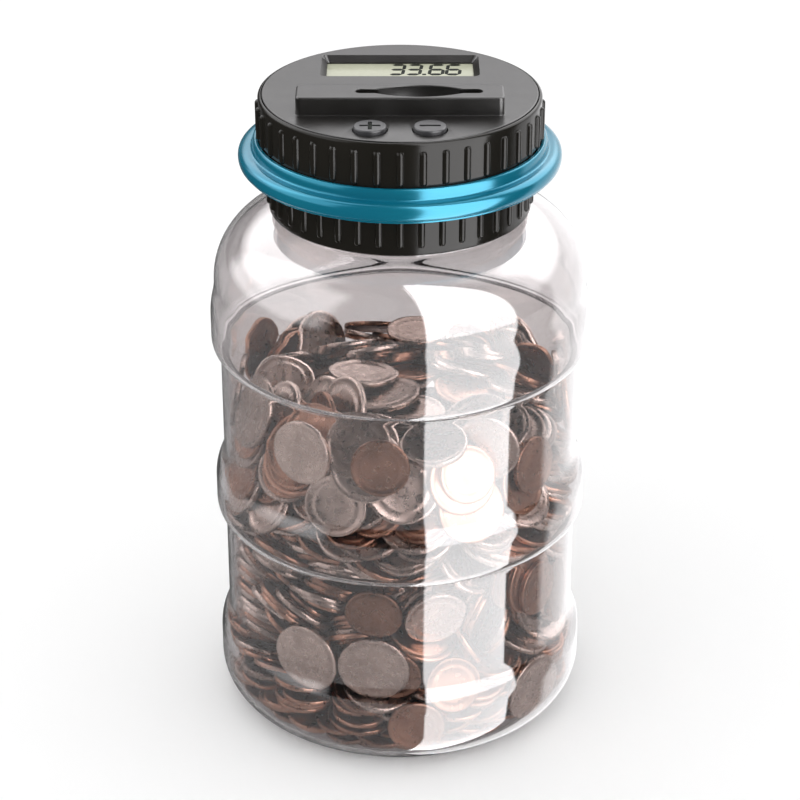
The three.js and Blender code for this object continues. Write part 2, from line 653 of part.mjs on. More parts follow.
const lcdHalfX = WINDOW_LENGTH / 2 + LCD_BORDER;
const lcdHalfY = WINDOW_WIDTH / 2 + LCD_BORDER;
const [lcdFront, lcdBack] = [WINDOW_Y - lcdHalfY, WINDOW_Y + lcdHalfY];
const lcdTop = LCD_Z + LCD_THICKNESS;
const insideRim = disc(RIM_BORE - 2 * GAP, BOARD_Z, DECK_Z);
piece('lcd_panel', box(-lcdHalfX, lcdHalfX, lcdFront, lcdBack, LCD_Z, lcdTop), 0xc9cdb2, 0.2);

function lcdFrame() {
  const inner = lcdHalfX + GAP;
  const outer = inner + FRAME_WALL;
  const [low, high] = [BOARD_TOP_Z + GAP, lcdTop];
  const whole = box(-outer, outer, lcdFront - GAP - FRAME_WALL, lcdBack + GAP + FRAME_WALL, low, high);
  const cut = box(-inner, inner, lcdFront - GAP, lcdBack + GAP, low - 1, high + 1);
  return whole.subtract(cut).intersect(insideRim);
}
piece('lcd_frame', lcdFrame(), 0x2b2c2e, 0.5);

const connectorHalf = lcdHalfX - CONNECTOR_WIDTH;
const connectorY = lcdFront + CONNECTOR_WIDTH;
const connector = box(
  -connectorHalf,
  connectorHalf,
  connectorY,
  connectorY + CONNECTOR_WIDTH,
  BOARD_TOP_Z + GAP,
  LCD_Z - GAP,
);
piece('lcd_connector', connector, 0xd98a9a, 0.7);

function board() {
  const half = CHUTE_HALF + CHUTE_WALL + GAP;
  const [low, high] = [BOARD_Z - 1, BOARD_TOP_Z + 1];
  const left = CHUTE_LEFT - CHUTE_WALL - GAP;
  const right = CHUTE_RIGHT + CHUTE_WALL + GAP;
  let body = disc(RIM_BORE - BOARD_EDGE, BOARD_Z, BOARD_TOP_Z);
  body = body.subtract(box(left, right, BLOCK_Y - half, BLOCK_Y + half, low, high));
  for (const [x, y] of screwPlaces()) {
    body = body.subtract(disc(POST_RADIUS + GAP, low, high, 12).translate([x, y, 0]));
  }
  return body;
}
piece('main_board', board(), 0x1f6b3c, 0.5);
const chip = disc(CHIP_RADIUS, BOARD_TOP_Z + GAP, BOARD_TOP_Z + GAP + CHIP_HEIGHT, 14);
piece('processor_blob', chip.translate([CHIP_X, CHIP_Y, 0]), 0x101012, 0.25);

// ---------- batteries and the inner cover ----------

const cellLength = BATTERY_LENGTH + BATTERY_NIPPLE;
const BAY_HALF_X = cellLength / 2 + CONTACT_ROOM;
const BAY_BACK = BAY_Y + BATTERY_SPACING / 2 + BATTERY_RADIUS + BAY_SIDE;
const BAY_FRONT = BAY_Y - BATTERY_SPACING / 2 - BATTERY_RADIUS - BAY_SIDE - DOOR_SWING_ROOM / 2;
const DOOR_PIN_Y = BAY_FRONT + DOOR_SWING_ROOM;
const DOOR_PIN_Z = COVER_Z + DOOR_PIN_RISE;

function battery(y) {
  const flat = -cellLength / 2;
  const shoulder = flat + BATTERY_LENGTH;
  const profile = [
    [0, flat],
    [BATTERY_RADIUS, flat],
    [BATTERY_RADIUS, shoulder],
    [NIPPLE_RADIUS, shoulder],
    [NIPPLE_RADIUS, shoulder + BATTERY_NIPPLE],
    [0, shoulder + BATTERY_NIPPLE],
  ];
  return turnedAlongX(profile, y, BATTERY_Z, 16);
}

function contactSpring(y) {
  const room = CONTACT_ROOM - GAP;
  const wound = coil(CONTACT_COIL, CONTACT_WIRE, CONTACT_TURNS, room - GAP).rotateY(Math.PI / 2);
  return solid(wound.translate(-BAY_HALF_X + GAP, y, BATTERY_Z));
}

const cells = { front: BAY_Y - BATTERY_SPACING / 2, rear: BAY_Y + BATTERY_SPACING / 2 };
for (const [side, y] of Object.entries(cells)) {
  piece(`battery_${side}`, battery(y), 0x8c9299, 0.35, 1);
  piece(`contact_spring_${side}`, contactSpring(y), STEEL, 0.25, 1);
}

const plateRight = BAY_HALF_X - GAP;
const contactPlate = box(
  plateRight - CONTACT_THICKNESS,
  plateRight,
  cells.front - CONTACT_COIL,
  cells.rear + CONTACT_COIL,
  BATTERY_Z - CONTACT_COIL,
  BATTERY_Z + CONTACT_COIL,
);
piece('contact_plate', contactPlate, STEEL, 0.25, 1);

// the hole that the coin and the lever's finger come down through
function coinExit() {
  const half = CHUTE_HALF + GAP;
  return box(PIVOT_X, CHUTE_RIGHT, BLOCK_Y - half, BLOCK_Y + half, COVER_Z - 1, COVER_TOP_Z + 1);
}

function doorPin(radius, halfLength, steps) {
  return turnedAlongX([[0, -halfLength], [radius, -halfLength], [radius, halfLength], [0, halfLength]],
    DOOR_PIN_Y, DOOR_PIN_Z, steps);
}

function innerCover() {
  const bayTop = BOARD_Z - GAP;
  const outerX = BAY_HALF_X + BAY_WALL;
  let body = disc(COVER_RADIUS, COVER_Z, COVER_TOP_Z);
  body = body.add(box(-outerX, outerX, BAY_FRONT - BAY_WALL, BAY_BACK + BAY_WALL, COVER_Z, bayTop));
  body = body.subtract(box(-BAY_HALF_X, BAY_HALF_X, BAY_FRONT, BAY_BACK, COVER_Z - 1, bayTop + 1));
  body = body.subtract(coinExit()).subtract(doorPin(DOOR_PIN_RADIUS + GAP, BAY_HALF_X + BAY_WALL - GAP, 10));
  for (const [x, y] of screwPlaces()) {
    const hole = disc(SCREW_RADIUS + GAP, COVER_Z - 1, COVER_TOP_Z + 1, 8);
    body = body.subtract(hole.translate([x, y, 0]));
  }
  return body;
}
piece('inner_cover', innerCover(), BLACK, 0.5);

function batteryDoor() {
  const half = BAY_HALF_X - GAP;
  const slab = box(-half, half, DOOR_PIN_Y, BAY_BACK - GAP, COVER_Z, COVER_Z + DOOR_THICKNESS);
  const barrel = doorPin(DOOR_BARREL, half, 10);
  const web = box(-half, half, DOOR_PIN_Y, DOOR_PIN_Y + DOOR_PIN_RADIUS, COVER_Z, DOOR_PIN_Z);
  return slab.add(web).add(barrel).add(doorPin(DOOR_PIN_RADIUS, half + BAY_WALL - GAP, 10));
}
piece('battery_door', batteryDoor(), BLACK, 0.5);

screwPlaces().forEach(([x, y], index) => {
  const headTop = COVER_Z - GAP;
  const profile = [
    [0, headTop - SCREW_HEAD_HEIGHT],
    [SCREW_HEAD_RADIUS, headTop - SCREW_HEAD_HEIGHT],
    [SCREW_HEAD_RADIUS, headTop],
    [SCREW_RADIUS, headTop],
    [SCREW_RADIUS, COVER_TOP_Z + SCREW_REACH],
    [0, COVER_TOP_Z + SCREW_REACH],
  ];
  piece(`cover_screw_${index + 1}`, turned(profile, 8).translate([x, y, 0]), STEEL, 0.3, 1);
});

export default jar;
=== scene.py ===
import math
import random

import bpy
import numpy as np
from mathutils import Euler, Matrix, Vector


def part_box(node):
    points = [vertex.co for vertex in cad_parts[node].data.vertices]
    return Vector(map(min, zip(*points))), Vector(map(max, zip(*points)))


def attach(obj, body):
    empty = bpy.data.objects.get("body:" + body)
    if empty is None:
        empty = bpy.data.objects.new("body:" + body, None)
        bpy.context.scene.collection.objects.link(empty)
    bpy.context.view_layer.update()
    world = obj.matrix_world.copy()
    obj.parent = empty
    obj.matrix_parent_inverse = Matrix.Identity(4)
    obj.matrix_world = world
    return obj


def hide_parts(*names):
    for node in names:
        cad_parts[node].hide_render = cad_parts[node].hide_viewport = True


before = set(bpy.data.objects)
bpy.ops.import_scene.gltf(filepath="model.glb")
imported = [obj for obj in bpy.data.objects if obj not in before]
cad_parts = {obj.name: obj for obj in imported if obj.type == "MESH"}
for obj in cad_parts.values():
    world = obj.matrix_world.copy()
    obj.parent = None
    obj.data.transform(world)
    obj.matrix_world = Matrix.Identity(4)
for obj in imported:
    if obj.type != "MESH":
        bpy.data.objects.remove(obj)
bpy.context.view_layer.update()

# Digital coin counting jar. Shape sizes below are in millimetres, and MM turns them into metres.
MM = 0.001
SEED = 7


# ---------- sizes taken from the frame ----------


def span(node):
    """Lowest and highest corner of a CAD node, in millimetres."""
    low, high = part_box(node)
    return low / MM, high / MM


_, jar_high = span("jar_bottle")
collar_low, collar_high = span("screw_collar")
ring_low, ring_high = span("trim_ring")
rim_low, rim_high = span("cap_rim")
_, deck_high = span("deck_plate")
liner_low, liner_high = span("seal_liner")
lcd_low, lcd_high = span("lcd_panel")

BULGE_RADIUS = jar_high.x
MOUTH_Z = jar_high.z
SKIRT_Z = collar_low.z
COLLAR_TOP_Z = collar_high.z
RING_Z = ring_low.z
RING_TOP_Z = ring_high.z
RING_RADIUS = ring_high.x
RIM_Z = rim_low.z
RIM_TOP_Z = rim_high.z
DECK_RADIUS = deck_high.x
BLOCK_TOP_Z = deck_high.z

# ---------- shape sizes ----------

GAP = 0.3
BELT_DEPTH = 3.0
BOTTLE_WALL = 1.6
BASE_CORNER = 14.5
BASE_DISH = 3.0
CONTACT_WIDTH = 6.0
LOW_BULGE_HEIGHT = 23.0
BULGE_FLAT = 7.5
BULGE_SLOPE = 12.5
BELT_HEIGHT = 37.3
GROOVE_DEPTH = 1.2
LIP_HEIGHT = 3.8
SHOULDER_STEP = 1.5
SHOULDER_HEIGHT = 23.3
NECK_RADIUS = 39.0

THREAD_STARTS = 2
THREAD_LEAD = 12.0
THREAD_DEPTH = 1.3
THREAD_HALF = 1.1
THREAD_SWEEP = math.radians(130)
THREAD_BELOW_MOUTH = 8.0

RIBS = 40
RIB_RISE = 1.0
RIB_HALF = 1.15
RIB_END = 2.6
COLLAR_BORE = 41.2
SKIRT_RADIUS = 42.9
SEAT_RADIUS = 43.9
COLLAR_FLANGE = 2.8
COLLAR_TOP = 1.7
RIM_RADIUS = 45.8
RIM_BORE = 43.2
RIM_ROUND = 1.0
RING_HEIGHT = COLLAR_TOP_Z - RING_Z
RING_WALL = 1.7

DECK_THICKNESS = 2.4
BLOCK_HEIGHT = 6.0
BLOCK_LENGTH = 65.6
BLOCK_DEPTH = 12.5
BLOCK_CORNER = 1.8
BLOCK_Y = -16.25
SLOT_LENGTH = 40.0
SLOT_WIDTH = 3.5
SLOT_X = 6.0
SCOOP_LENGTH = 33.0
SCOOP_WIDTH = 10.0
SCOOP_DEPTH = 5.0
WINDOW_LENGTH = 48.0
WINDOW_WIDTH = 17.6
WINDOW_Y = 23.8
BUTTON_RADIUS = 5.2
BUTTON_X = 9.3
BUTTON_Y = -34.4
COVER_TOP_Z = 202.9
POST_RADIUS = 3.0
POST_BORE = 1.6
SCREW_REACH = 5.5
SCREW_PLACES = [(x * side, y) for x, y in ((33.0, 6.0), (20.0, -28.0)) for side in (1, -1)]

DECK_Z = BLOCK_TOP_Z - BLOCK_HEIGHT
DECK_UNDER_Z = DECK_Z - DECK_THICKNESS
MID_GROOVE_Z = LOW_BULGE_HEIGHT + BULGE_SLOPE + BELT_HEIGHT
MID_TOP_Z = MID_GROOVE_Z + LIP_HEIGHT + BULGE_FLAT + BULGE_SLOPE
TOP_GROOVE_Z = MID_TOP_Z + BELT_HEIGHT
SHOULDER_Z = TOP_GROOVE_Z + LIP_HEIGHT + BULGE_FLAT + BULGE_SLOPE

# ---------- mesh helpers ----------


def new_object(name, points, faces):
    """A smooth-shaded mesh object from points in millimetres."""
    mesh = bpy.data.meshes.new(name)
    mesh.from_pydata([Vector(p) * MM for p in points], [], faces)
    mesh.update()
    mesh.polygons.foreach_set("use_smooth", [True] * len(mesh.polygons))
    made = bpy.data.objects.new(name, mesh)
    bpy.context.scene.collection.objects.link(made)
    return made


def even_angles(count):
    return [2 * math.pi * i / count for i in range(count)]


def turned(name, profile, angles, relief=None):
    """A profile of (radius, height) turned about Z, which closes on the axis if its ends are there.

    Any other profile closes on itself. relief(angle, height, radius) is added to the radius.
    """
    points = []
    rows = []
    for radius, z in profile:
        if radius < 1e-6:
            rows.append([len(points)])
            points.append((0, 0, z))
            continue
        row = []
        for angle in angles:
            r = radius + (relief(angle, z, radius) if relief else 0)
            row.append(len(points))
            points.append((r * math.cos(angle), r * math.sin(angle), z))
        rows.append(row)
    pairs = list(zip(rows, rows[1:]))
    if len(rows[0]) > 1:
        pairs.append((rows[-1], rows[0]))
    faces = []
    count = len(angles)
    for low, high in pairs:
        for i in range(count):
            j = (i + 1) % count
            if len(low) == 1:
                faces.append((low[0], high[j], high[i]))
            elif len(high) == 1:
                faces.append((low[i], low[j], high[0]))
            else:
                faces.append((low[i], low[j], high[j], high[i]))
    return new_object(name, points, faces)


def mark_sharp(made, degrees=32):
    made.data.set_sharp_from_angle(angle=math.radians(degrees))


def arc(cx, cy, radius, start, end, steps):
    """Points on an arc, angles in degrees."""
    turns = [math.radians(start + (end - start) * i / steps) for i in range(steps + 1)]
    return [(cx + radius * math.cos(a), cy + radius * math.sin(a)) for a in turns]


def quadratic(a, b, c, steps):
    """Points on a quadratic curve after its first point."""
    made = []
    for i in range(1, steps + 1):
        t = i / steps
        made.append(tuple((1 - t) ** 2 * p + 2 * t * (1 - t) * q + t * t * r for p, q, r in zip(a, b, c)))
    return made


def lofted(name, levels):
    """A closed body through (outline, height) levels from the bottom up, with as many points in each."""
    count = len(levels[0][0])
    points = [(x, y, z) for outline, z in levels for x, y in outline]
    last = (len(levels) - 1) * count
    faces = [tuple(reversed(range(count))), tuple(range(last, last + count))]
    for first in range(0, last, count):
        for i in range(count):
            j = (i + 1) % count
            faces.append((first + i, first + j, first + count + j, first + count + i))
    return new_object(name, points, faces)


def prism(name, outline, low, high):
    """A flat outline raised from one height to another."""
    return lofted(name, [(outline, low), (outline, high)])


def cutter(name, outline_grown_by, low, high, edge):
    """A cutter that leaves a rounded edge at height high. outline_grown_by(growth) gives its outline."""
    levels = [(outline_grown_by(0.0), low)]
    for turn in (0, 30, 60, 90):
        angle = math.radians(turn)
        levels.append((outline_grown_by(edge * (1 - math.cos(angle))), high - edge * (1 - math.sin(angle))))
    levels.append((outline_grown_by(edge), high + 1))
    return lofted(name, levels)


def rounded_rectangle(x, y, length, width, corner, steps=8):
    a, b = length / 2 - corner, width / 2 - corner
    outline = []
    for quarter, (sx, sy) in enumerate(((1, 1), (-1, 1), (-1, -1), (1, -1))):
        outline += arc(x + sx * a, y + sy * b, corner, 90 * quarter, 90 * quarter + 90, steps)
    return outline


def settled(made):
    """Applies an object's modifiers to its mesh."""
    bpy.context.view_layer.update()
    shaped = made.evaluated_get(bpy.context.evaluated_depsgraph_get())
    mesh = bpy.data.meshes.new_from_object(shaped)
    made.modifiers.clear()
    made.data = mesh
    return made


def level_normals(made, degrees=28):
    """Sharp edges by angle. Large flat faces stay flat where they meet small rounded ones."""
    mark_sharp(made, degrees)
    step = made.modifiers.new("normals", "WEIGHTED_NORMAL")
    step.keep_sharp = True
    step.weight = 100
    return settled(made)


def combine(target, other, operation):
    """Joins or cuts target with another object, which is then removed."""
    step = target.modifiers.new(operation, "BOOLEAN")
    step.operation = operation
    step.solver = "EXACT"
    step.object = other
    settled(target)
    bpy.data.objects.remove(other)
    return target


def bevelled(made, width, segments=3, degrees=40):
    step = made.modifiers.new("bevel", "BEVEL")
    step.width = width * MM
    step.segments = segments
    step.limit_method = "ANGLE"
    step.angle_limit = math.radians(degrees)
    step.harden_normals = True
    step.miter_outer = "MITER_ARC"
    return settled(made)


def finish_piece(made, body, nodes, material):
    """What every piece of this object needs said about it."""
    made.data.materials.clear()
    made.data.materials.append(material)
    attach(made, body)
    if nodes:
        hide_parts(*nodes)
    return made


# ---------- material helpers ----------


class Nodes:
    """A material's node tree, with short ways to add and join nodes."""

    def __init__(self, name):
        self.material = bpy.data.materials.new(name)
        self.material.use_nodes = True
        self.tree = self.material.node_tree
        self.tree.nodes.clear()
        self.output = self.add("ShaderNodeOutputMaterial")

    def add(self, kind, **settings):
        node = self.tree.nodes.new(kind)
        for key, value in settings.items():
            setattr(node, key, value)
        return node

    def put(self, value, socket):
        """Joins a socket to another one, or sets it to a plain value."""
        if isinstance(value, bpy.types.NodeSocket):
            self.tree.links.new(value, socket)
        else:
            socket.default_value = value

    def surface(self, shader):
        self.put(shader, self.output.inputs["Surface"])

    def principled(self, **values):
        node = self.add("ShaderNodeBsdfPrincipled")
        for key, value in values.items():
            self.put(value, node.inputs[key.replace("_", " ")])
        return node

    def place(self):
        return self.add("ShaderNodeTexCoord").outputs["Object"]

    def noise(self, scale, detail=3.0, stretch=None):
        node = self.add("ShaderNodeTexNoise")
        node.inputs["Scale"].default_value = scale
        node.inputs["Detail"].default_value = detail
        place = self.place()
        if stretch:
            mapping = self.add("ShaderNodeMapping")
            self.put(place, mapping.inputs["Vector"])
            mapping.inputs["Scale"].default_value = stretch
            place = mapping.outputs["Vector"]
        self.put(place, node.inputs["Vector"])
        return node.outputs["Fac"]

    def ramp(self, value, low, high, out_low, out_high):
        node = self.add("ShaderNodeMapRange")
        self.put(value, node.inputs["Value"])
        ends = {"From Min": low, "From Max": high, "To Min": out_low, "To Max": out_high}
        for key, number in ends.items():
            self.put(number, node.inputs[key])
        return node.outputs["Result"]

    def mix(self, share, first, second):
        node = self.add("ShaderNodeMix", data_type="RGBA")
        self.put(share, node.inputs["Factor"])
        self.put(first, node.inputs["A"])
        self.put(second, node.inputs["B"])
        return node.outputs["Result"]

    def math(self, operation, first, second=0.0):
        node = self.add("ShaderNodeMath", operation=operation)
        self.put(first, node.inputs[0])
        self.put(second, node.inputs[1])
        return node.outputs[0]

    def bump(self, height, distance, strength=1.0):
        node = self.add("ShaderNodeBump")
        node.inputs["Distance"].default_value = distance
        node.inputs["Strength"].default_value = strength
        self.put(height, node.inputs["Height"])
        return node.outputs["Normal"]


def moulded_plastic(name, dark, light, roughness, grain=0.00002, shine=0.5):
    """Injection-moulded plastic: faint colour drift, uneven gloss and a fine moulded grain."""
    nodes = Nodes(name)
    drift = nodes.noise(60.0)
    gloss = nodes.ramp(nodes.noise(160.0), 0.3, 0.7, roughness * 0.92, roughness * 1.1)
    colour = nodes.mix(drift, (*dark, 1), (*light, 1))
    normal = nodes.bump(nodes.noise(2400.0, 2.0), grain)
    shader = nodes.principled(
        Base_Color=colour, Roughness=gloss, Normal=normal, IOR=1.5, Specular_IOR_Level=shine
    )
    nodes.surface(shader.outputs[0])
    return nodes.material


def metal(name, dark, light, roughness, stretch=None, grain=0.00001, scale=900.0):
    """Bare or plated metal with fine scratches and uneven tarnish."""
    nodes = Nodes(name)
    tarnish = nodes.ramp(nodes.noise(90.0, 5.0), 0.35, 0.65, 0.0, 1.0)
    gloss = nodes.ramp(nodes.noise(300.0), 0.3, 0.7, roughness * 0.75, roughness * 1.3)
    colour = nodes.mix(tarnish, (*dark, 1), (*light, 1))
    normal = nodes.bump(nodes.noise(scale, 3.0, stretch), grain)
    shader = nodes.principled(Base_Color=colour, Metallic=1.0, Roughness=gloss, Normal=normal)
    nodes.surface(shader.outputs[0])
    return nodes.material


def anodised_metal():
    """The trim ring: dyed, sealed metal, brushed round its axis under a clear film."""
    nodes = Nodes("ring_anodised")
    brushing = nodes.noise(380.0, 2.0, (1, 1, 16))
    dye = nodes.ramp(nodes.noise(24.0, 1.0), 0.3, 0.7, 0.0, 1.0)
    colour = nodes.mix(dye, (0.005, 0.180, 0.28, 1), (0.008, 0.215, 0.31, 1))
    gloss = nodes.ramp(brushing, 0.3, 0.7, 0.15, 0.20)
    shader = nodes.principled(
        Base_Color=colour, Metallic=0.36, Roughness=gloss, Normal=nodes.bump(brushing, 0.000004),
        Specular_IOR_Level=0.5,
    )
    nodes.surface(shader.outputs[0])
    return nodes.material


def clear_plastic():
    """The jar's clear plastic. Lamps shine through it, so the coins inside are lit."""
    nodes = Nodes("clear_jar_plastic")
    ripple = nodes.bump(nodes.noise(16.0, 1.0), 0.0012, 0.14)
    glass = nodes.principled(
        Base_Color=(0.78, 0.75, 0.752, 1), Transmission_Weight=1.0, Roughness=0.0, IOR=1.46, Normal=ripple,
        Coat_Weight=1.0, Coat_Roughness=0.03, Coat_IOR=1.6, Coat_Normal=ripple,
    )
    through = nodes.add("ShaderNodeBsdfTransparent")
    through.inputs["Color"].default_value = (0.95, 0.93, 0.93, 1)
    path = nodes.add("ShaderNodeLightPath")
    mixed = nodes.add("ShaderNodeMixShader")
    nodes.put(path.outputs["Is Shadow Ray"], mixed.inputs[0])
    nodes.put(glass.outputs[0], mixed.inputs[1])
    nodes.put(through.outputs[0], mixed.inputs[2])
    nodes.surface(mixed.outputs[0])
    return nodes.material


def coin_metal(name, dull, bright, roughness):
    """Worn coin metal. Each coin has its own tone, and tarnish lies in patches on it."""
    nodes = Nodes(name)
    tone = nodes.add("ShaderNodeAttribute", attribute_name="coin_tone").outputs["Fac"]
    patches = nodes.ramp(nodes.noise(110.0, 6.0), 0.38, 0.66, 0.0, 1.0)
    share = nodes.math("ADD", nodes.math("MULTIPLY", tone, 0.75), nodes.math("MULTIPLY", patches, 0.25))
    colour = nodes.mix(share, (*dull, 1), (*bright, 1))
    gloss = nodes.ramp(nodes.noise(420.0, 4.0), 0.3, 0.7, roughness * 0.75, roughness * 1.4)
    normal = nodes.bump(nodes.noise(1500.0, 4.0), 0.00004)
    shader = nodes.principled(Base_Color=colour, Metallic=1.0, Roughness=gloss, Normal=normal)
    nodes.surface(shader.outputs[0])
    return nodes.material


def display_face():
    """The display's pale polariser over its reflector, with faint mottling."""
    nodes = Nodes("display_face")
    mottle = nodes.noise(700.0, 2.0)
    colour = nodes.mix(mottle, (0.50, 0.51, 0.38, 1), (0.58, 0.59, 0.46, 1))
    normal = nodes.bump(nodes.noise(1600.0), 0.000004)
    gloss = nodes.ramp(mottle, 0.3, 0.7, 0.16, 0.24)
    shader = nodes.principled(Base_Color=colour, Roughness=gloss, Normal=normal, Specular_IOR_Level=0.2)
    nodes.surface(shader.outputs[0])
    return nodes.material


black_plastic = moulded_plastic(
    "black_plastic_gloss", (0.011, 0.010, 0.008), (0.016, 0.0145, 0.012), 0.13, shine=0.2
)
deck_plastic = moulded_plastic(
    "deck_plastic_satin", (0.007, 0.0065, 0.006), (0.011, 0.010, 0.009), 0.30, shine=0.65
)
button_plastic = moulded_plastic("button_plastic_satin", (0.035, 0.035, 0.038), (0.05, 0.05, 0.054), 0.34)
inner_plastic = moulded_plastic(
    "inner_plastic_matt", (0.014, 0.014, 0.015), (0.024, 0.024, 0.026), 0.45, grain=0.00004
)
lever_plastic = moulded_plastic("lever_acetal", (0.62, 0.60, 0.55), (0.70, 0.68, 0.64), 0.36)
liner_foam = moulded_plastic("liner_foam", (0.68, 0.67, 0.64), (0.80, 0.79, 0.76), 0.85, 0.0002)
rubber = moulded_plastic("zebra_rubber", (0.62, 0.22, 0.28), (0.74, 0.32, 0.38), 0.7, 0.00006)
resin = moulded_plastic("chip_resin", (0.006, 0.006, 0.007), (0.012, 0.012, 0.013), 0.22, 0.00008)
board_lacquer = moulded_plastic("board_lacquer", (0.01, 0.10, 0.035), (0.02, 0.16, 0.06), 0.35, 0.00003)
steel = metal("spring_steel_bright", (0.42, 0.43, 0.45), (0.62, 0.63, 0.65), 0.22)
jacket = metal("battery_jacket_foil", (0.16, 0.24, 0.36), (0.24, 0.34, 0.48), 0.3)
ring_metal = anodised_metal()
silver_metal = coin_metal("silver_coin_worn", (0.21, 0.155, 0.13), (0.74, 0.62, 0.56), 0.27)
copper_metal = coin_metal("copper_coin_worn", (0.12, 0.06, 0.04), (0.62, 0.36, 0.26), 0.30)
jar_plastic = clear_plastic()
display = display_face()
# Dark ink of the display's digits. The buttons' engraved signs also use it as painted shade on their groove
# floors.
segment_ink_and_painted_shade = moulded_plastic("segment_ink_and_painted_shade", (0.008, 0.010, 0.008), (0.014, 0.016, 0.013), 0.6, shine=0.08)

# ---------- camera, floor and light ----------


def add_camera():
    data = bpy.data.cameras.new("camera")
    focal_length, sensor = 112.2, 36.0
    distance, height, tilt = 0.756, 0.503, math.radians(62.54)
    data.lens = focal_length
    data.sensor_width = sensor
    made = bpy.data.objects.new("camera", data)
    made.location = (0.0, -distance, height)
    made.rotation_euler = (tilt, 0.0, 0.0)
    bpy.context.scene.collection.objects.link(made)
    bpy.context.scene.camera = made


def add_floor():
    size = 4000.0
    corners = [(-size, -size, 0), (size, -size, 0), (size, size, 0), (-size, size, 0)]
    made = new_object("floor", corners, [(0, 1, 2, 3)])
    nodes = Nodes("floor_paint")
    shader = nodes.principled(Base_Color=(0.97, 0.97, 0.97, 1), Roughness=0.9, Specular_IOR_Level=0.0)
    nodes.surface(shader.outputs[0])
    made.data.materials.append(nodes.material)
    made.visible_glossy = False


def add_world():
    """An even white studio. Gloss shows a dark front, a pale back wall and soft boxes at the sides."""
    world = bpy.data.worlds.new("studio")
    bpy.context.scene.world = world
    world.use_nodes = True
    world.cycles.sampling_method = "NONE"
    tree = world.node_tree
    tree.nodes.clear()
    add = tree.nodes.new

    def number(operation, first, second=0.0, third=None):
        node = add("ShaderNodeMath")
        node.operation = operation
        for socket, value in zip(node.inputs, (first, second, third)):
            if isinstance(value, bpy.types.NodeSocket):
                tree.links.new(value, socket)
            elif value is not None:
                socket.default_value = value
        return node.outputs[0]

    split = add("ShaderNodeSeparateXYZ")
    tree.links.new(add("ShaderNodeTexCoord").outputs["Generated"], split.inputs[0])
    x, y, z = split.outputs
    bearing = number("DEGREES", number("ARCTAN2", x, number("MULTIPLY", y, -1.0)))
    height = number("DEGREES", number("ARCSINE", z))

    def between(value, low, high, edge):
        """1 inside a range of degrees, falling to 0 over edge degrees outside it."""
        parts = []
        for limit, sign in ((low, 1.0), (high, -1.0)):
            past = number("MULTIPLY", number("SUBTRACT", value, limit), sign / edge)
            clamp = add("ShaderNodeClamp")
            tree.links.new(number("ADD", past, 1.0), clamp.inputs[0])
            parts.append(clamp.outputs[0])
        return number("MULTIPLY", *parts)

    def soft_box(bearings, heights, edge, strength):
        inside = number("MULTIPLY", between(bearing, *bearings, edge), between(height, *heights, edge))
        return number("MULTIPLY", inside, strength)

    room = 0.035
    total = room
    boxes = (
        ((16, 72), (-80, 86), 1.5, 6.6),
        ((108, 168), (-80, 50), 6.0, 1.4),
        ((-125, -52), (6, 54), 10.0, 1.7),
        ((-176, -150), (-80, 10), 5.0, 0.1),
    )
    for bearings, heights, edge, strength in boxes:
        total = number("ADD", total, soft_box(bearings, heights, edge, strength))
    behind = number("MULTIPLY", y, 90.0)
    wall = number("MULTIPLY", between(behind, 25, 100, 30), between(height, 24, 70, 10))
    total = number("ADD", total, number("MULTIPLY", wall, 2.6))

    def background(colour, strength):
        node = add("ShaderNodeBackground")
        node.inputs["Color"].default_value = (*colour, 1)
        if isinstance(strength, bpy.types.NodeSocket):
            tree.links.new(strength, node.inputs["Strength"])
        else:
            node.inputs["Strength"].default_value = strength
        return node.outputs[0]

    path = add("ShaderNodeLightPath")
    mixed = add("ShaderNodeMixShader")
    bent = number("MAXIMUM", path.outputs["Is Glossy Ray"], path.outputs["Is Transmission Ray"])
    tree.links.new(bent, mixed.inputs[0])
    tree.links.new(background((1.0, 1.0, 1.0), 1.06), mixed.inputs[1])
    tree.links.new(background((1.0, 0.99, 1.0), total), mixed.inputs[2])
    tree.links.new(mixed.outputs[0], add("ShaderNodeOutputWorld").inputs[0])


def add_key_light():
    data = bpy.data.lights.new("key", "AREA")
    data.shape = "DISK"
    data.size = 1.5
    data.energy = 2.5
    made = bpy.data.objects.new("key", data)
    made.location = (-0.7, -0.8, 1.3)
    made.rotation_euler = (Vector((0, 0, 0.1)) - made.location).to_track_quat("-Z", "Y").to_euler()
    made.visible_glossy = False
    bpy.context.scene.collection.objects.link(made)


bpy.context.scene.view_settings.view_transform = "Standard"
add_camera()
add_floor()
add_world()
add_key_light()

# ---------- jar ----------


def bulge_fall(points, start, end, z, height, steps=14):
    """Upper side of a bulge: a smooth fall from one radius to a smaller one."""
    control = ((start, z), (start, z + 0.45 * height), (end, z + 0.55 * height), (end, z + height))
    for i in range(1, steps + 1):
        t = i / steps
        weights = ((1 - t) ** 3, 3 * t * (1 - t) ** 2, 3 * t * t * (1 - t), t**3)
        points.append(tuple(sum(w * c[k] for w, c in zip(weights, control)) for k in (0, 1)))


def bulge_lip(points, belt, bulge, z):
    """Curled lower lip of a bulge over a rounded groove."""
    inward = (belt - 0.5, z - 0.4)
    points += quadratic((belt, z - 1.6 * GROOVE_DEPTH), (belt, z - 0.6 * GROOVE_DEPTH), inward, 4)
    points += quadratic(inward, (belt - GROOVE_DEPTH, z), (belt, z + 0.25), 4)
    points += quadratic((belt, z + 0.25), (bulge, z + 0.4), (bulge, z + LIP_HEIGHT), 8)
    points.append((bulge, z + LIP_HEIGHT + BULGE_FLAT))


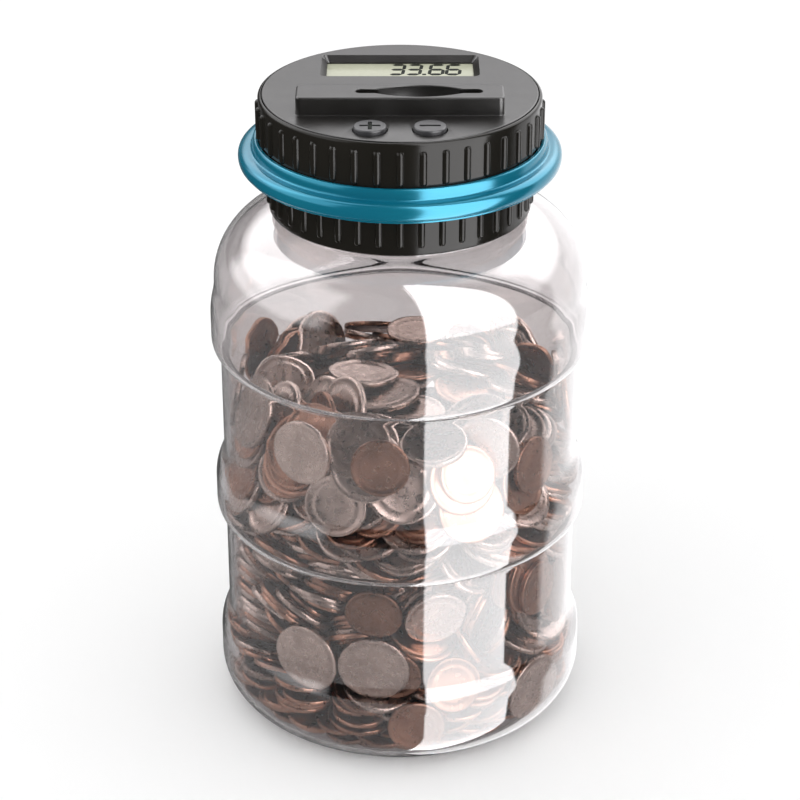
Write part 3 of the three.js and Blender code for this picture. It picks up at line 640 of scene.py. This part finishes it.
def bottle_outline(inset):
    """The jar's outline from the middle of its base to its mouth, moved in by inset."""
    bulge = BULGE_RADIUS - inset
    belt = bulge - BELT_DEPTH
    shoulder = bulge - SHOULDER_STEP
    contact = BULGE_RADIUS - BASE_CORNER
    dish_foot = contact - CONTACT_WIDTH + (math.sqrt(2) - 1) * inset
    neck = NECK_RADIUS - inset
    rise = BASE_DISH + inset
    points = [(0, rise), (0.5 * dish_foot, rise), (dish_foot - BASE_DISH - 1.5, rise)]
    dish_edge = dish_foot - BASE_DISH
    points += quadratic(points[-1], (dish_edge, rise), (dish_foot - 0.5 * BASE_DISH, inset + 1.5), 4)
    points += quadratic(points[-1], (dish_foot, inset), (dish_foot + 1.5, inset), 4)
    points += arc(contact, BASE_CORNER, BASE_CORNER - inset, -90, 0, 18)
    points.append((bulge, LOW_BULGE_HEIGHT))
    bulge_fall(points, bulge, belt, LOW_BULGE_HEIGHT, BULGE_SLOPE)
    points.append((belt, MID_GROOVE_Z - 1.6 * GROOVE_DEPTH))
    bulge_lip(points, belt, bulge, MID_GROOVE_Z)
    bulge_fall(points, bulge, belt, MID_TOP_Z - BULGE_SLOPE, BULGE_SLOPE)
    points.append((belt, TOP_GROOVE_Z - 1.6 * GROOVE_DEPTH))
    bulge_lip(points, belt, bulge, TOP_GROOVE_Z)
    bulge_fall(points, bulge, shoulder, SHOULDER_Z - BULGE_SLOPE, BULGE_SLOPE)
    high = SHOULDER_HEIGHT - inset
    ellipse = arc(0, 0, 1.0, 0, 90, 20)[1:]
    points += [(neck + (shoulder - neck) * c, SHOULDER_Z + high * s) for c, s in ellipse]
    return points


def thread_relief(angle, z, radius):
    """Height of the neck's screw thread, which fades in and out along each start."""
    if abs(radius - NECK_RADIUS) > 0.01:
        return 0.0
    middle = MOUTH_Z - THREAD_BELOW_MOUTH
    rise = 0.0
    for start in range(THREAD_STARTS):
        along = (angle - 2 * math.pi * start / THREAD_STARTS + math.pi) % (2 * math.pi) - math.pi
        off = abs(z - middle - THREAD_LEAD * along / (2 * math.pi))
        fade = min(1.0, max(0.0, (THREAD_SWEEP / 2 - abs(along)) / 0.15))
        crown = max(0.0, 1 - (off / THREAD_HALF) ** 2)
        rise = max(rise, THREAD_DEPTH * fade * crown**0.6)
    return rise


def make_jar():
    lip = 0.5
    outside = bottle_outline(0.0)
    neck_z = outside[-1][1]
    rows = 52
    outside += [(NECK_RADIUS, neck_z + (MOUTH_Z - lip - neck_z) * i / rows) for i in range(1, rows + 1)]
    inside = bottle_outline(BOTTLE_WALL)
    bore = NECK_RADIUS - BOTTLE_WALL
    mouth = arc(NECK_RADIUS - lip, MOUTH_Z - lip, lip, 0, 90, 4)[1:]
    mouth += arc(bore + lip, MOUTH_Z - lip, lip, 90, 180, 4)
    made = turned("jar_bottle_clear", outside + mouth + inside[::-1], even_angles(192), thread_relief)
    finish_piece(made, "jar", ["jar_bottle"], jar_plastic)


make_jar()

# ---------- lid: liner, collar, ring and rim ----------


def rib_angles():
    """Columns round a ribbed wall, close together over each rib."""
    pitch = 2 * math.pi / RIBS
    half = RIB_HALF / RIM_RADIUS
    across = [-1.25, -1.05, -0.97, -0.85, -0.65, -0.35, 0.0, 0.35, 0.65, 0.85, 0.97, 1.05, 1.25]
    return [pitch * i + half * share for i in range(RIBS) for share in across + [0.5 * pitch / half]]


def rib_rows(low, high):
    """Heights along a ribbed wall, close together over the ribs' round ends."""
    ends = [0.0, 0.04, 0.14, 0.3, 0.5, 0.72, 1.0]
    bottom = [low + RIB_HALF * share for share in ends]
    return [low - 0.2] + bottom + [high - (z - low) for z in reversed(bottom)] + [high + 0.2]


def rib_relief(wall, low, high):
    """Half-round ribs with round ends on a wall of the given radius."""

    def relief(angle, z, radius):
        if abs(radius - wall) > 0.01 or not low <= z <= high:
            return 0.0
        pitch = 2 * math.pi / RIBS
        across = ((angle + pitch / 2) % pitch - pitch / 2) * RIM_RADIUS
        along = max(0.0, low + RIB_HALF - z, z - high + RIB_HALF)
        off = math.hypot(across, along) / RIB_HALF
        return RIB_RISE * math.sqrt(max(0.0, 1 - off * off))

    return relief


def make_liner():
    inner = NECK_RADIUS - BOTTLE_WALL
    outer = liner_high.x
    low, high, edge = liner_low.z, liner_high.z, 0.3
    profile = [(inner, low + edge), (inner + edge, low), (outer - edge, low), (outer, low + edge)]
    profile += [(outer, high - edge), (outer - edge, high), (inner + edge, high), (inner, high - edge)]
    made = turned("seal_liner_foam", profile, even_angles(160))
    mark_sharp(made)
    finish_piece(made, "seal", ["seal_liner"], liner_foam)


def thread_bore(angle, z, radius):
    """The collar's own thread, which points inwards and passes between the jar's starts."""
    if abs(radius - COLLAR_BORE) > 0.01:
        return 0.0
    quarter = math.pi / THREAD_STARTS
    middle = MOUTH_Z - THREAD_BELOW_MOUTH - THREAD_LEAD / THREAD_STARTS / 2
    middle += THREAD_LEAD * quarter / (2 * math.pi)
    depth = COLLAR_BORE - NECK_RADIUS - 0.6
    rise = 0.0
    for start in range(THREAD_STARTS):
        along = (angle - quarter - 2 * math.pi * start / THREAD_STARTS + math.pi) % (2 * math.pi) - math.pi
        off = abs(z - middle - THREAD_LEAD * along / (2 * math.pi))
        fade = min(1.0, max(0.0, (THREAD_SWEEP / 2 - abs(along)) / 0.15))
        rise = max(rise, depth * fade * max(0.0, 1 - (off / THREAD_HALF) ** 2) ** 0.6)
    return -rise


def make_collar():
    low = SKIRT_Z + RIB_END
    high = RING_Z - GAP
    edge = 0.5
    ribs = rib_relief(SKIRT_RADIUS, low, high - 0.3)
    flange_bore = COLLAR_BORE - COLLAR_FLANGE
    flange_z = COLLAR_TOP_Z - COLLAR_TOP
    profile = [(COLLAR_BORE + edge, SKIRT_Z)]
    profile += arc(SKIRT_RADIUS - edge, SKIRT_Z + edge, edge, -90, 0, 4)
    profile += [(SKIRT_RADIUS, z) for z in rib_rows(low, high - 0.3)]
    profile += [(SKIRT_RADIUS, high + 0.05), (SEAT_RADIUS, high + 0.05), (SEAT_RADIUS, COLLAR_TOP_Z)]
    profile += [(flange_bore, COLLAR_TOP_Z), (flange_bore, flange_z), (COLLAR_BORE, flange_z)]
    rows = 50
    profile += [(COLLAR_BORE, flange_z + (SKIRT_Z + edge - flange_z) * i / rows) for i in range(1, rows + 1)]

    def relief(angle, z, radius):
        return ribs(angle, z, radius) + thread_bore(angle, z, radius)

    made = turned("screw_collar_ribbed", profile, rib_angles(), relief)
    mark_sharp(made, 40)
    finish_piece(made, "lid", ["screw_collar"], black_plastic)


def make_ring():
    """The trim ring: an upright band, a groove, a wide roll and a thin curled lip."""
    seat = SEAT_RADIUS + GAP
    over = RIM_RADIUS + GAP
    roll_z = RING_Z + 0.5 * RING_HEIGHT
    groove = over + RING_WALL + 0.7
    edge = RING_RADIUS
    profile = [(seat, RING_Z + 0.2), (seat + 0.2, RING_Z), (edge - 2.3, RING_Z)]
    profile += quadratic((edge - 2.3, RING_Z), (edge - 1.6, RING_Z), (edge - 1.75, RING_Z + 0.7), 6)
    profile += quadratic(profile[-1], (edge, RING_Z + 1.3), (edge, roll_z + 0.2), 10)
    flange = (edge - 0.1, RING_Z + 0.9 * RING_HEIGHT)
    profile += quadratic(profile[-1], flange, (groove + 0.4, COLLAR_TOP_Z - 1.0), 12)
    lip = groove - 0.5
    profile += quadratic(profile[-1], (lip, COLLAR_TOP_Z - 1.1), (lip, COLLAR_TOP_Z - 0.2), 5)
    profile += quadratic(profile[-1], (over + RING_WALL, RING_TOP_Z), (over + 0.9, RING_TOP_Z), 8)
    profile += [(over + 0.1, RING_TOP_Z - 0.1), (over, RING_TOP_Z - 0.3)]
    profile += [(over, COLLAR_TOP_Z), (seat, COLLAR_TOP_Z)]
    made = turned("trim_ring_anodised", profile, even_angles(256))
    mark_sharp(made, 50)
    finish_piece(made, "lid", ["trim_ring"], ring_metal)


def make_rim():
    low = RING_TOP_Z + GAP
    high = RIM_TOP_Z - RIB_END
    deck_bore = DECK_RADIUS + GAP
    profile = [(RIM_BORE, RIM_Z), (RIM_RADIUS, RIM_Z)]
    profile += [(RIM_RADIUS, z) for z in rib_rows(low, high)]
    profile += arc(RIM_RADIUS - RIM_ROUND, RIM_TOP_Z - RIM_ROUND, RIM_ROUND, 0, 75, 8)
    profile += arc(deck_bore + 0.1, RIM_TOP_Z - 0.1, 0.1, 90, 180, 3)
    ledge = DECK_UNDER_Z - GAP
    profile += [(deck_bore, ledge), (RIM_BORE, ledge)]
    made = turned("cap_rim_ribbed", profile, rib_angles(), rib_relief(RIM_RADIUS, low, high))
    mark_sharp(made, 40)
    finish_piece(made, "lid", ["cap_rim"], black_plastic)


make_liner()
make_collar()
make_ring()
make_rim()

# ---------- deck, display and buttons ----------


def lens(x, y, length, width, steps=32):
    """Two shallow arcs that meet at their ends."""
    half, sag = length / 2, width / 2
    radius = (half * half + sag * sag) / (2 * sag)
    spread = math.degrees(math.asin(half / radius))
    front = arc(x, y - radius + sag, radius, 90 - spread, 90 + spread, steps)
    back = arc(x, y + radius - sag, radius, 270 - spread, 270 + spread, steps)
    return front + back[1:-1]


def scoop():
    """The hollow that guides a coin to the slot: a lens that narrows and deepens towards its middle."""
    edge = 0.25
    levels = []
    for share in (1.0, 0.85, 0.7, 0.55, 0.4, 0.25, 0.12, 0.05):
        narrowing = 1 - 0.3 * share**2
        outline = lens(SLOT_X, BLOCK_Y, SCOOP_LENGTH * (1 - 0.06 * share), SCOOP_WIDTH * narrowing)
        levels.append((outline, BLOCK_TOP_Z - SCOOP_DEPTH * share))
    for growth, z in ((edge, BLOCK_TOP_Z), (edge, BLOCK_TOP_Z + 1)):
        levels.append((lens(SLOT_X, BLOCK_Y, SCOOP_LENGTH + 4 * growth, SCOOP_WIDTH + 2 * growth), z))
    return lofted("scoop_cut", levels)


def slot_cut():
    def outline(growth):
        width = SLOT_WIDTH + 2 * growth
        return rounded_rectangle(SLOT_X, BLOCK_Y, SLOT_LENGTH + 2 * growth, width, 0.45 * width)

    return cutter("slot_cut", outline, DECK_UNDER_Z - 1, BLOCK_TOP_Z, 0.25)


def window_cut():
    """The window's hole, with sloped sides that narrow towards the display."""
    flare_x, flare_y, edge = 1.9, 1.2, 0.2

    def outline(across, along, corner):
        return rounded_rectangle(0, WINDOW_Y, WINDOW_LENGTH + 2 * across, WINDOW_WIDTH + 2 * along, corner)

    bottom = outline(0.2, 0.1, 0.8)
    top = outline(flare_x, flare_y, 1.8)
    brim = outline(flare_x + edge, flare_y + edge, 2.0)
    levels = [(bottom, DECK_UNDER_Z - 0.2), (bottom, DECK_UNDER_Z + 0.2), (top, DECK_Z - edge)]
    levels += [(brim, DECK_Z), (brim, DECK_Z + 1)]
    return lofted("window_cut", levels)


def block():
    """The raised block, with a rounded top edge and a small fillet-like foot."""
    edge = 0.7

    def outline(growth):
        corner = BLOCK_CORNER + growth
        return rounded_rectangle(0, BLOCK_Y, BLOCK_LENGTH + 2 * growth, BLOCK_DEPTH + 2 * growth, corner)

    levels = [(outline(0.35), DECK_UNDER_Z + 1), (outline(0.35), DECK_Z), (outline(0.1), DECK_Z + 0.12)]
    levels.append((outline(0.0), DECK_Z + 0.4))
    for turn in (0, 22.5, 45, 67.5, 90):
        angle = math.radians(turn)
        levels.append((outline(edge * (math.cos(angle) - 1)), BLOCK_TOP_Z - edge * (1 - math.sin(angle))))
    return lofted("block", levels)


def upright(name, radius, x, y, low, high, edge=0.0):
    """A round bar or, with an edge, a cutter whose mouth is rounded at height high."""

    def outline(growth):
        return arc(x, y, radius + growth, 0, 360, 48)[:-1]

    return cutter(name, outline, low, high, edge) if edge else prism(name, outline(0.0), low, high)


def make_deck():
    edge = 0.35
    profile = [(0, DECK_UNDER_Z), (DECK_RADIUS, DECK_UNDER_Z)]
    profile += arc(DECK_RADIUS - edge, DECK_Z - edge, edge, 0, 90, 4) + [(0, DECK_Z)]
    made = turned("deck_plate_moulded", profile, even_angles(192))
    combine(made, block(), "UNION")
    for x, y in SCREW_PLACES:
        post = upright("post", POST_RADIUS, x, y, COVER_TOP_Z + GAP, DECK_UNDER_Z + 1)
        combine(made, post, "UNION")
        bore = upright("bore", POST_BORE, x, y, COVER_TOP_Z, COVER_TOP_Z + SCREW_REACH + 1)
        combine(made, bore, "DIFFERENCE")
    combine(made, slot_cut(), "DIFFERENCE")
    combine(made, scoop(), "DIFFERENCE")
    combine(made, window_cut(), "DIFFERENCE")
    for side in (-1, 1):
        x = side * BUTTON_X
        hole = upright("hole", BUTTON_RADIUS + GAP, x, BUTTON_Y, DECK_UNDER_Z - 1, DECK_Z, 0.2)
        combine(made, hole, "DIFFERENCE")
    level_normals(made)
    finish_piece(made, "lid", ["deck_plate"], deck_plastic)


def make_button(sign, side):
    body = f"{sign}_key"
    low, high = span(f"button_{sign}")
    stem_z, top = low.z, high.z
    flange_radius = high.x - side * BUTTON_X
    flange_top = DECK_UNDER_Z - GAP
    profile = [(0, stem_z), (1.7, stem_z), (2.0, stem_z + 0.3), (2.0, flange_top - 1.7)]
    profile += [(flange_radius, flange_top - 1.7), (flange_radius, flange_top), (BUTTON_RADIUS, flange_top)]
    profile += arc(BUTTON_RADIUS - 0.6, top - 0.6, 0.6, 0, 80, 6)
    profile += [(3.2, top - 0.05), (0, top - 0.02)]
    made = turned(f"button_{sign}_engraved", profile, even_angles(64))
    long, wide, deep = 6.6, 1.3, 0.45

    def sign_shape(narrower, low, high):
        bars = [rounded_rectangle(0, 0, long - narrower, wide - narrower, 0.3)]
        if sign == "plus":
            bars.append(rounded_rectangle(0, 0, wide - narrower, long - narrower, 0.3))
        shape = prism("sign", bars[0], low, high)
        for bar in bars[1:]:
            combine(shape, prism("bar", bar, low, high), "UNION")
        return shape

    # Painted shade: a thin dark slab on the floor of the engraved sign. It stands in for the shade inside
    # the groove.
    painted_groove_shade = sign_shape(0.1, top - deep - 0.1, top - deep + 0.1)
    painted_groove_shade.name = f"{sign}_sign_inlay"
    combine(made, sign_shape(0.0, top - deep, top + 1), "DIFFERENCE")
    level_normals(made)
    at_button = Matrix.Translation(Vector((side * BUTTON_X, BUTTON_Y, 0)) * MM)
    made.data.transform(at_button)
    painted_groove_shade.data.transform(at_button)
    finish_piece(made, body, [f"button_{sign}"], button_plastic)
    finish_piece(painted_groove_shade, body, [], segment_ink_and_painted_shade)


SEGMENTS = {"3": "abcdg", "6": "acdefg"}


def segment_outline(along_x, centre, length, width):
    """One bar of a seven-segment digit, with pointed ends."""
    a, b = length / 2, width / 2
    outline = [(-a, 0), (-a + b, -b), (a - b, -b), (a, 0), (a - b, b), (-a + b, b)]
    if not along_x:
        outline = [(-y, x) for x, y in outline]
    return [(centre[0] + x, centre[1] + y) for x, y in outline]


def make_display():
    low, high = lcd_low, lcd_high
    edge = 0.3
    outline = rounded_rectangle(0, (low.y + high.y) / 2, high.x - low.x, high.y - low.y, 0.4)
    panel = prism("lcd_panel_glass", outline, low.z, high.z)
    bevelled(panel, edge, 2, 50)
    finish_piece(panel, "lid", ["lcd_panel"], display)

    wide, tall, thick, thin, lean = 4.3, 9.0, 1.8, 1.15, 0.10
    middle_y = WINDOW_Y + 3.3
    half = tall / 2
    shapes = {
        "a": (True, 0, half), "g": (True, 0, 0), "d": (True, 0, -half),
        "b": (False, wide / 2, half / 2), "c": (False, wide / 2, -half / 2),
        "f": (False, -wide / 2, half / 2), "e": (False, -wide / 2, -half / 2),
    }
    points, faces = [], []
    top, bottom = high.z + 0.05, high.z - 0.05

    def raise_outline(outline):
        first, count = len(points), len(outline)
        points.extend((x, y, z) for z in (bottom, top) for x, y in outline)
        faces.append(tuple(first + i for i in reversed(range(count))))
        faces.append(tuple(first + count + i for i in range(count)))
        for i in range(count):
            j = (i + 1) % count
            faces.append((first + i, first + j, first + count + j, first + count + i))

    pitch, point_gap = 5.6, 1.9
    last = WINDOW_LENGTH / 2 - 6.2
    for place, digit in enumerate("33.66".replace(".", "")):
        x = last - pitch * (3 - place) - (point_gap if place < 2 else 0.0)
        for name in SEGMENTS[digit]:
            along_x, dx, dy = shapes[name]
            length = (wide if along_x else half) - 0.25
            outline = segment_outline(along_x, (dx, dy), length, thick if along_x else thin)
            raise_outline([(x + px + lean * py, middle_y + py) for px, py in outline])
    dot_x = last - pitch * 1.5 - point_gap / 2 - 0.5
    raise_outline(rounded_rectangle(dot_x, middle_y - half, 1.3, 1.3, 0.2, 2))
    digits = new_object("lcd_digits", points, faces)
    mark_sharp(digits)
    finish_piece(digits, "lid", [], segment_ink_and_painted_shade)


make_deck()
make_button("plus", -1)
make_button("minus", 1)
make_display()

# ---------- coins ----------

COIN_KINDS = (  # radius, thickness, metal, share of the coins
    (9.6, 1.6, "copper", 0.36),
    (10.7, 1.9, "silver", 0.24),
    (12.1, 1.8, "silver", 0.22),
    (11.6, 1.7, "copper", 0.18),
)
COINS = 690
CORE_RADIUS = 36.0
CORE_TOP = 100.0
SIM_SCALE = 50.0


def coin_profile(radius, thick):
    """A coin's side outline: plain sunk faces, a raised ring, a raised rim and a rounded edge."""
    half = thick / 2
    sunk = half - 0.22
    upper = [(0.30 * radius, sunk + 0.10), (0.62 * radius, sunk + 0.04), (0.66 * radius, sunk + 0.12)]
    upper += [(0.70 * radius, sunk), (0.86 * radius, sunk), (0.90 * radius, half), (radius - 0.18, half)]
    upper.append((radius, half - 0.2))
    profile = [(0, -sunk - 0.12)] + [(r, -z) for r, z in upper]
    return profile + [(r, z) for r, z in reversed(upper)] + [(0, sunk + 0.12)]


def coin_points(radius, thick, columns):
    """Points and faces of one coin about its own middle, in millimetres."""
    made = turned("coin_pattern", coin_profile(radius, thick), even_angles(columns))
    points = np.array([v.co for v in made.data.vertices]) / MM
    faces = [tuple(p.vertices) for p in made.data.polygons]
    bpy.data.objects.remove(made)
    return points, faces


def rigid(objects, kind, shape, **settings):
    """Makes several objects rigid bodies of one kind."""
    for made in bpy.context.selected_objects:
        made.select_set(False)
    for made in objects:
        made.select_set(True)
    bpy.context.view_layer.objects.active = objects[0]
    bpy.ops.rigidbody.objects_add(type=kind)
    for made in objects:
        made.rigid_body.collision_shape = shape
        for key, value in settings.items():
            setattr(made.rigid_body, key, value)


def poured_coins():
    """Pours coins into the jar round a core of coin stacks, and returns (kind, matrix in millimetres)."""
    rng = random.Random(SEED)
    scene = bpy.context.scene
    bpy.ops.rigidbody.world_add()
    world = scene.rigidbody_world
    frames, substeps = ((90, 8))
    world.substeps_per_frame = substeps
    world.solver_iterations = 12
    world.point_cache.frame_end = frames
    scene.frame_end = frames
    scene.gravity = (0, 0, -30)
    to_sim = SIM_SCALE * MM

    inside = bottle_outline(BOTTLE_WALL + GAP)[:-20]
    wall = new_object("sim_wall", *open_lathe(inside + [(inside[-1][0], 700.0)], 64))
    top = CORE_TOP
    heap = [(0.01, 1), (CORE_RADIUS, 1), (CORE_RADIUS, top), (CORE_RADIUS - 3, top + 8)]
    heap += [(24, top + 13), (0.01, top + 15)]
    core = new_object("sim_core", *open_lathe(heap, 48))
    for made in (wall, core):
        made.data.transform(Matrix.Scale(SIM_SCALE, 4))
    rigid([wall, core], "PASSIVE", "MESH", friction=0.35, use_margin=True, collision_margin=0.01)

    patterns = []
    for radius, thick, _, _ in COIN_KINDS:
        half = thick / 2
        disc = [(0, -half), (radius, -half), (radius, half), (0, half)]
        pattern = turned("sim_coin", disc, even_angles(16))
        pattern.data.transform(Matrix.Scale(SIM_SCALE, 4))
        patterns.append(pattern)
    coins, kinds = [], []
    per_layer, layer_height = 11, 6.4
    for i in range(COINS):
        low_copper = 2.4 if i < 0.45 * COINS else 1.0
        shares = [share * (low_copper if metal == "copper" else 1.0) for _, _, metal, share in COIN_KINDS]
        kind = rng.choices(range(len(COIN_KINDS)), shares)[0]
        layer = i // per_layer
        turn = 2 * math.pi * ((i % per_layer) + 0.5 * (layer % 2) + rng.uniform(-0.1, 0.1)) / per_layer
        out = 47 + rng.uniform(-1, 1)
        coin = bpy.data.objects.new(f"sim_coin_{i}", patterns[kind].data)
        scene.collection.objects.link(coin)
        z = 14 + layer_height * layer + rng.uniform(-1, 1)
        coin.location = Vector((out * math.cos(turn), out * math.sin(turn), z)) * to_sim
        coin.rotation_euler = Euler((rng.gauss(0, 0.4), rng.gauss(0, 0.4), rng.uniform(0, 2 * math.pi)))
        coins.append(coin)
        kinds.append(kind)
    rigid(
        coins, "ACTIVE", "CYLINDER", friction=0.3, restitution=0.0, use_margin=True,
        collision_margin=0.004, linear_damping=0.06, angular_damping=0.15,
    )
    for step in range(1, frames + 1):
        scene.frame_set(step)
    placed = []
    for kind, coin in zip(kinds, coins):
        at = coin.matrix_world.copy()
        at.translation = at.translation / to_sim
        if math.hypot(at.translation.x, at.translation.y) < BULGE_RADIUS and at.translation.z > 0:
            placed.append((kind, at))
    bpy.ops.rigidbody.world_remove()
    for made in coins + patterns + [wall, core]:
        bpy.data.objects.remove(made)
    scene.frame_set(1)
    return placed


def open_lathe(profile, columns):
    """Points and faces of an open surface of revolution, for the simulation only."""
    angles = even_angles(columns)
    points = [(r * math.cos(a), r * math.sin(a), z) for r, z in profile for a in angles]
    faces = []
    for k in range(len(profile) - 1):
        for i in range(columns):
            j = (i + 1) % columns
            faces.append((k * columns + i, k * columns + j, (k + 1) * columns + j, (k + 1) * columns + i))
    return points, faces


def core_stacks():
    """Coins in loose stacks where the pour doesn't reach."""
    rng = random.Random(SEED + 1)
    placed = []
    spacing, pitch = 3.2, 23.6
    z = 6.5
    while z < CORE_TOP + 4:
        spots = [(0.0, 0.0)]
        if z < CORE_TOP - 2:
            spots += [(pitch * math.cos(a), pitch * math.sin(a)) for a in even_angles(6)]
        for x, y in spots:
            kind = rng.randrange(len(COIN_KINDS))
            tilt = Euler((rng.uniform(-0.05, 0.05), rng.uniform(-0.05, 0.05), rng.uniform(0, 6.28)))
            at = tilt.to_matrix().to_4x4()
            at.translation = (x, y, z)
            placed.append((kind, at))
        z += spacing
    return placed


def join_coins(name, placed, material, columns, rng):
    """One mesh from many coins, with each coin's tone kept as an attribute."""
    patterns = {kind: coin_points(*COIN_KINDS[kind][:2], columns) for kind in {k for k, _ in placed}}
    blocks, faces, tones = [], [], []
    first = 0
    for kind, at in placed:
        points, pattern_faces = patterns[kind]
        turned_points = points @ np.array(at.to_3x3()).T + np.array(at.translation)
        blocks.append(turned_points)
        faces += [tuple(first + i for i in face) for face in pattern_faces]
        tones += [min(1.0, max(0.0, rng.gauss(0.5, 0.28)))] * len(points)
        first += len(points)
    made = new_object(name, [tuple(p) for p in np.concatenate(blocks)], faces)
    mark_sharp(made, 55)
    made.data.attributes.new("coin_tone", "FLOAT", "POINT").data.foreach_set("value", tones)
    finish_piece(made, "jar", ["coin_pile"], material)


def make_coins():
    rng = random.Random(SEED + 2)
    poured = poured_coins()
    bands = (("lower", -1.0, 36.0), ("middle", 36.0, 78.0), ("upper", 78.0, 400.0))
    for metal_name, slot, material in (
        ("silver", "silver_coin", silver_metal),
        ("copper", "copper_coin", copper_metal),
    ):
        for band, low, high in bands:
            in_band = [(k, at) for k, at in poured if low <= at.translation.z < high]
            chosen = [(k, at) for k, at in in_band if COIN_KINDS[k][2] == metal_name]
            if chosen:
                join_coins(f"coins_{metal_name}_{band}", chosen, material, 36, rng)
        stacked = [(k, at) for k, at in core_stacks() if COIN_KINDS[k][2] == metal_name]
        join_coins(f"coins_{metal_name}_core", stacked, material, 24, rng)


make_coins()

# ---------- materials of the nodes that keep their CAD shape ----------

KEPT = {
    "inner_cover": inner_plastic,
    "battery_door": inner_plastic,
    "coin_chute": inner_plastic,
    "lcd_frame": inner_plastic,
    "position_sensor": inner_plastic,
    "gauge_lever": lever_plastic,
    "lcd_connector": rubber,
    "main_board": board_lacquer,
    "processor_blob": resin,
    "battery_front": jacket,
    "battery_rear": jacket,
}
for node_name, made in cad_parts.items():
    if made.hide_render:
        continue
    for place in made.material_slots:
        place.material = KEPT.get(node_name, steel)
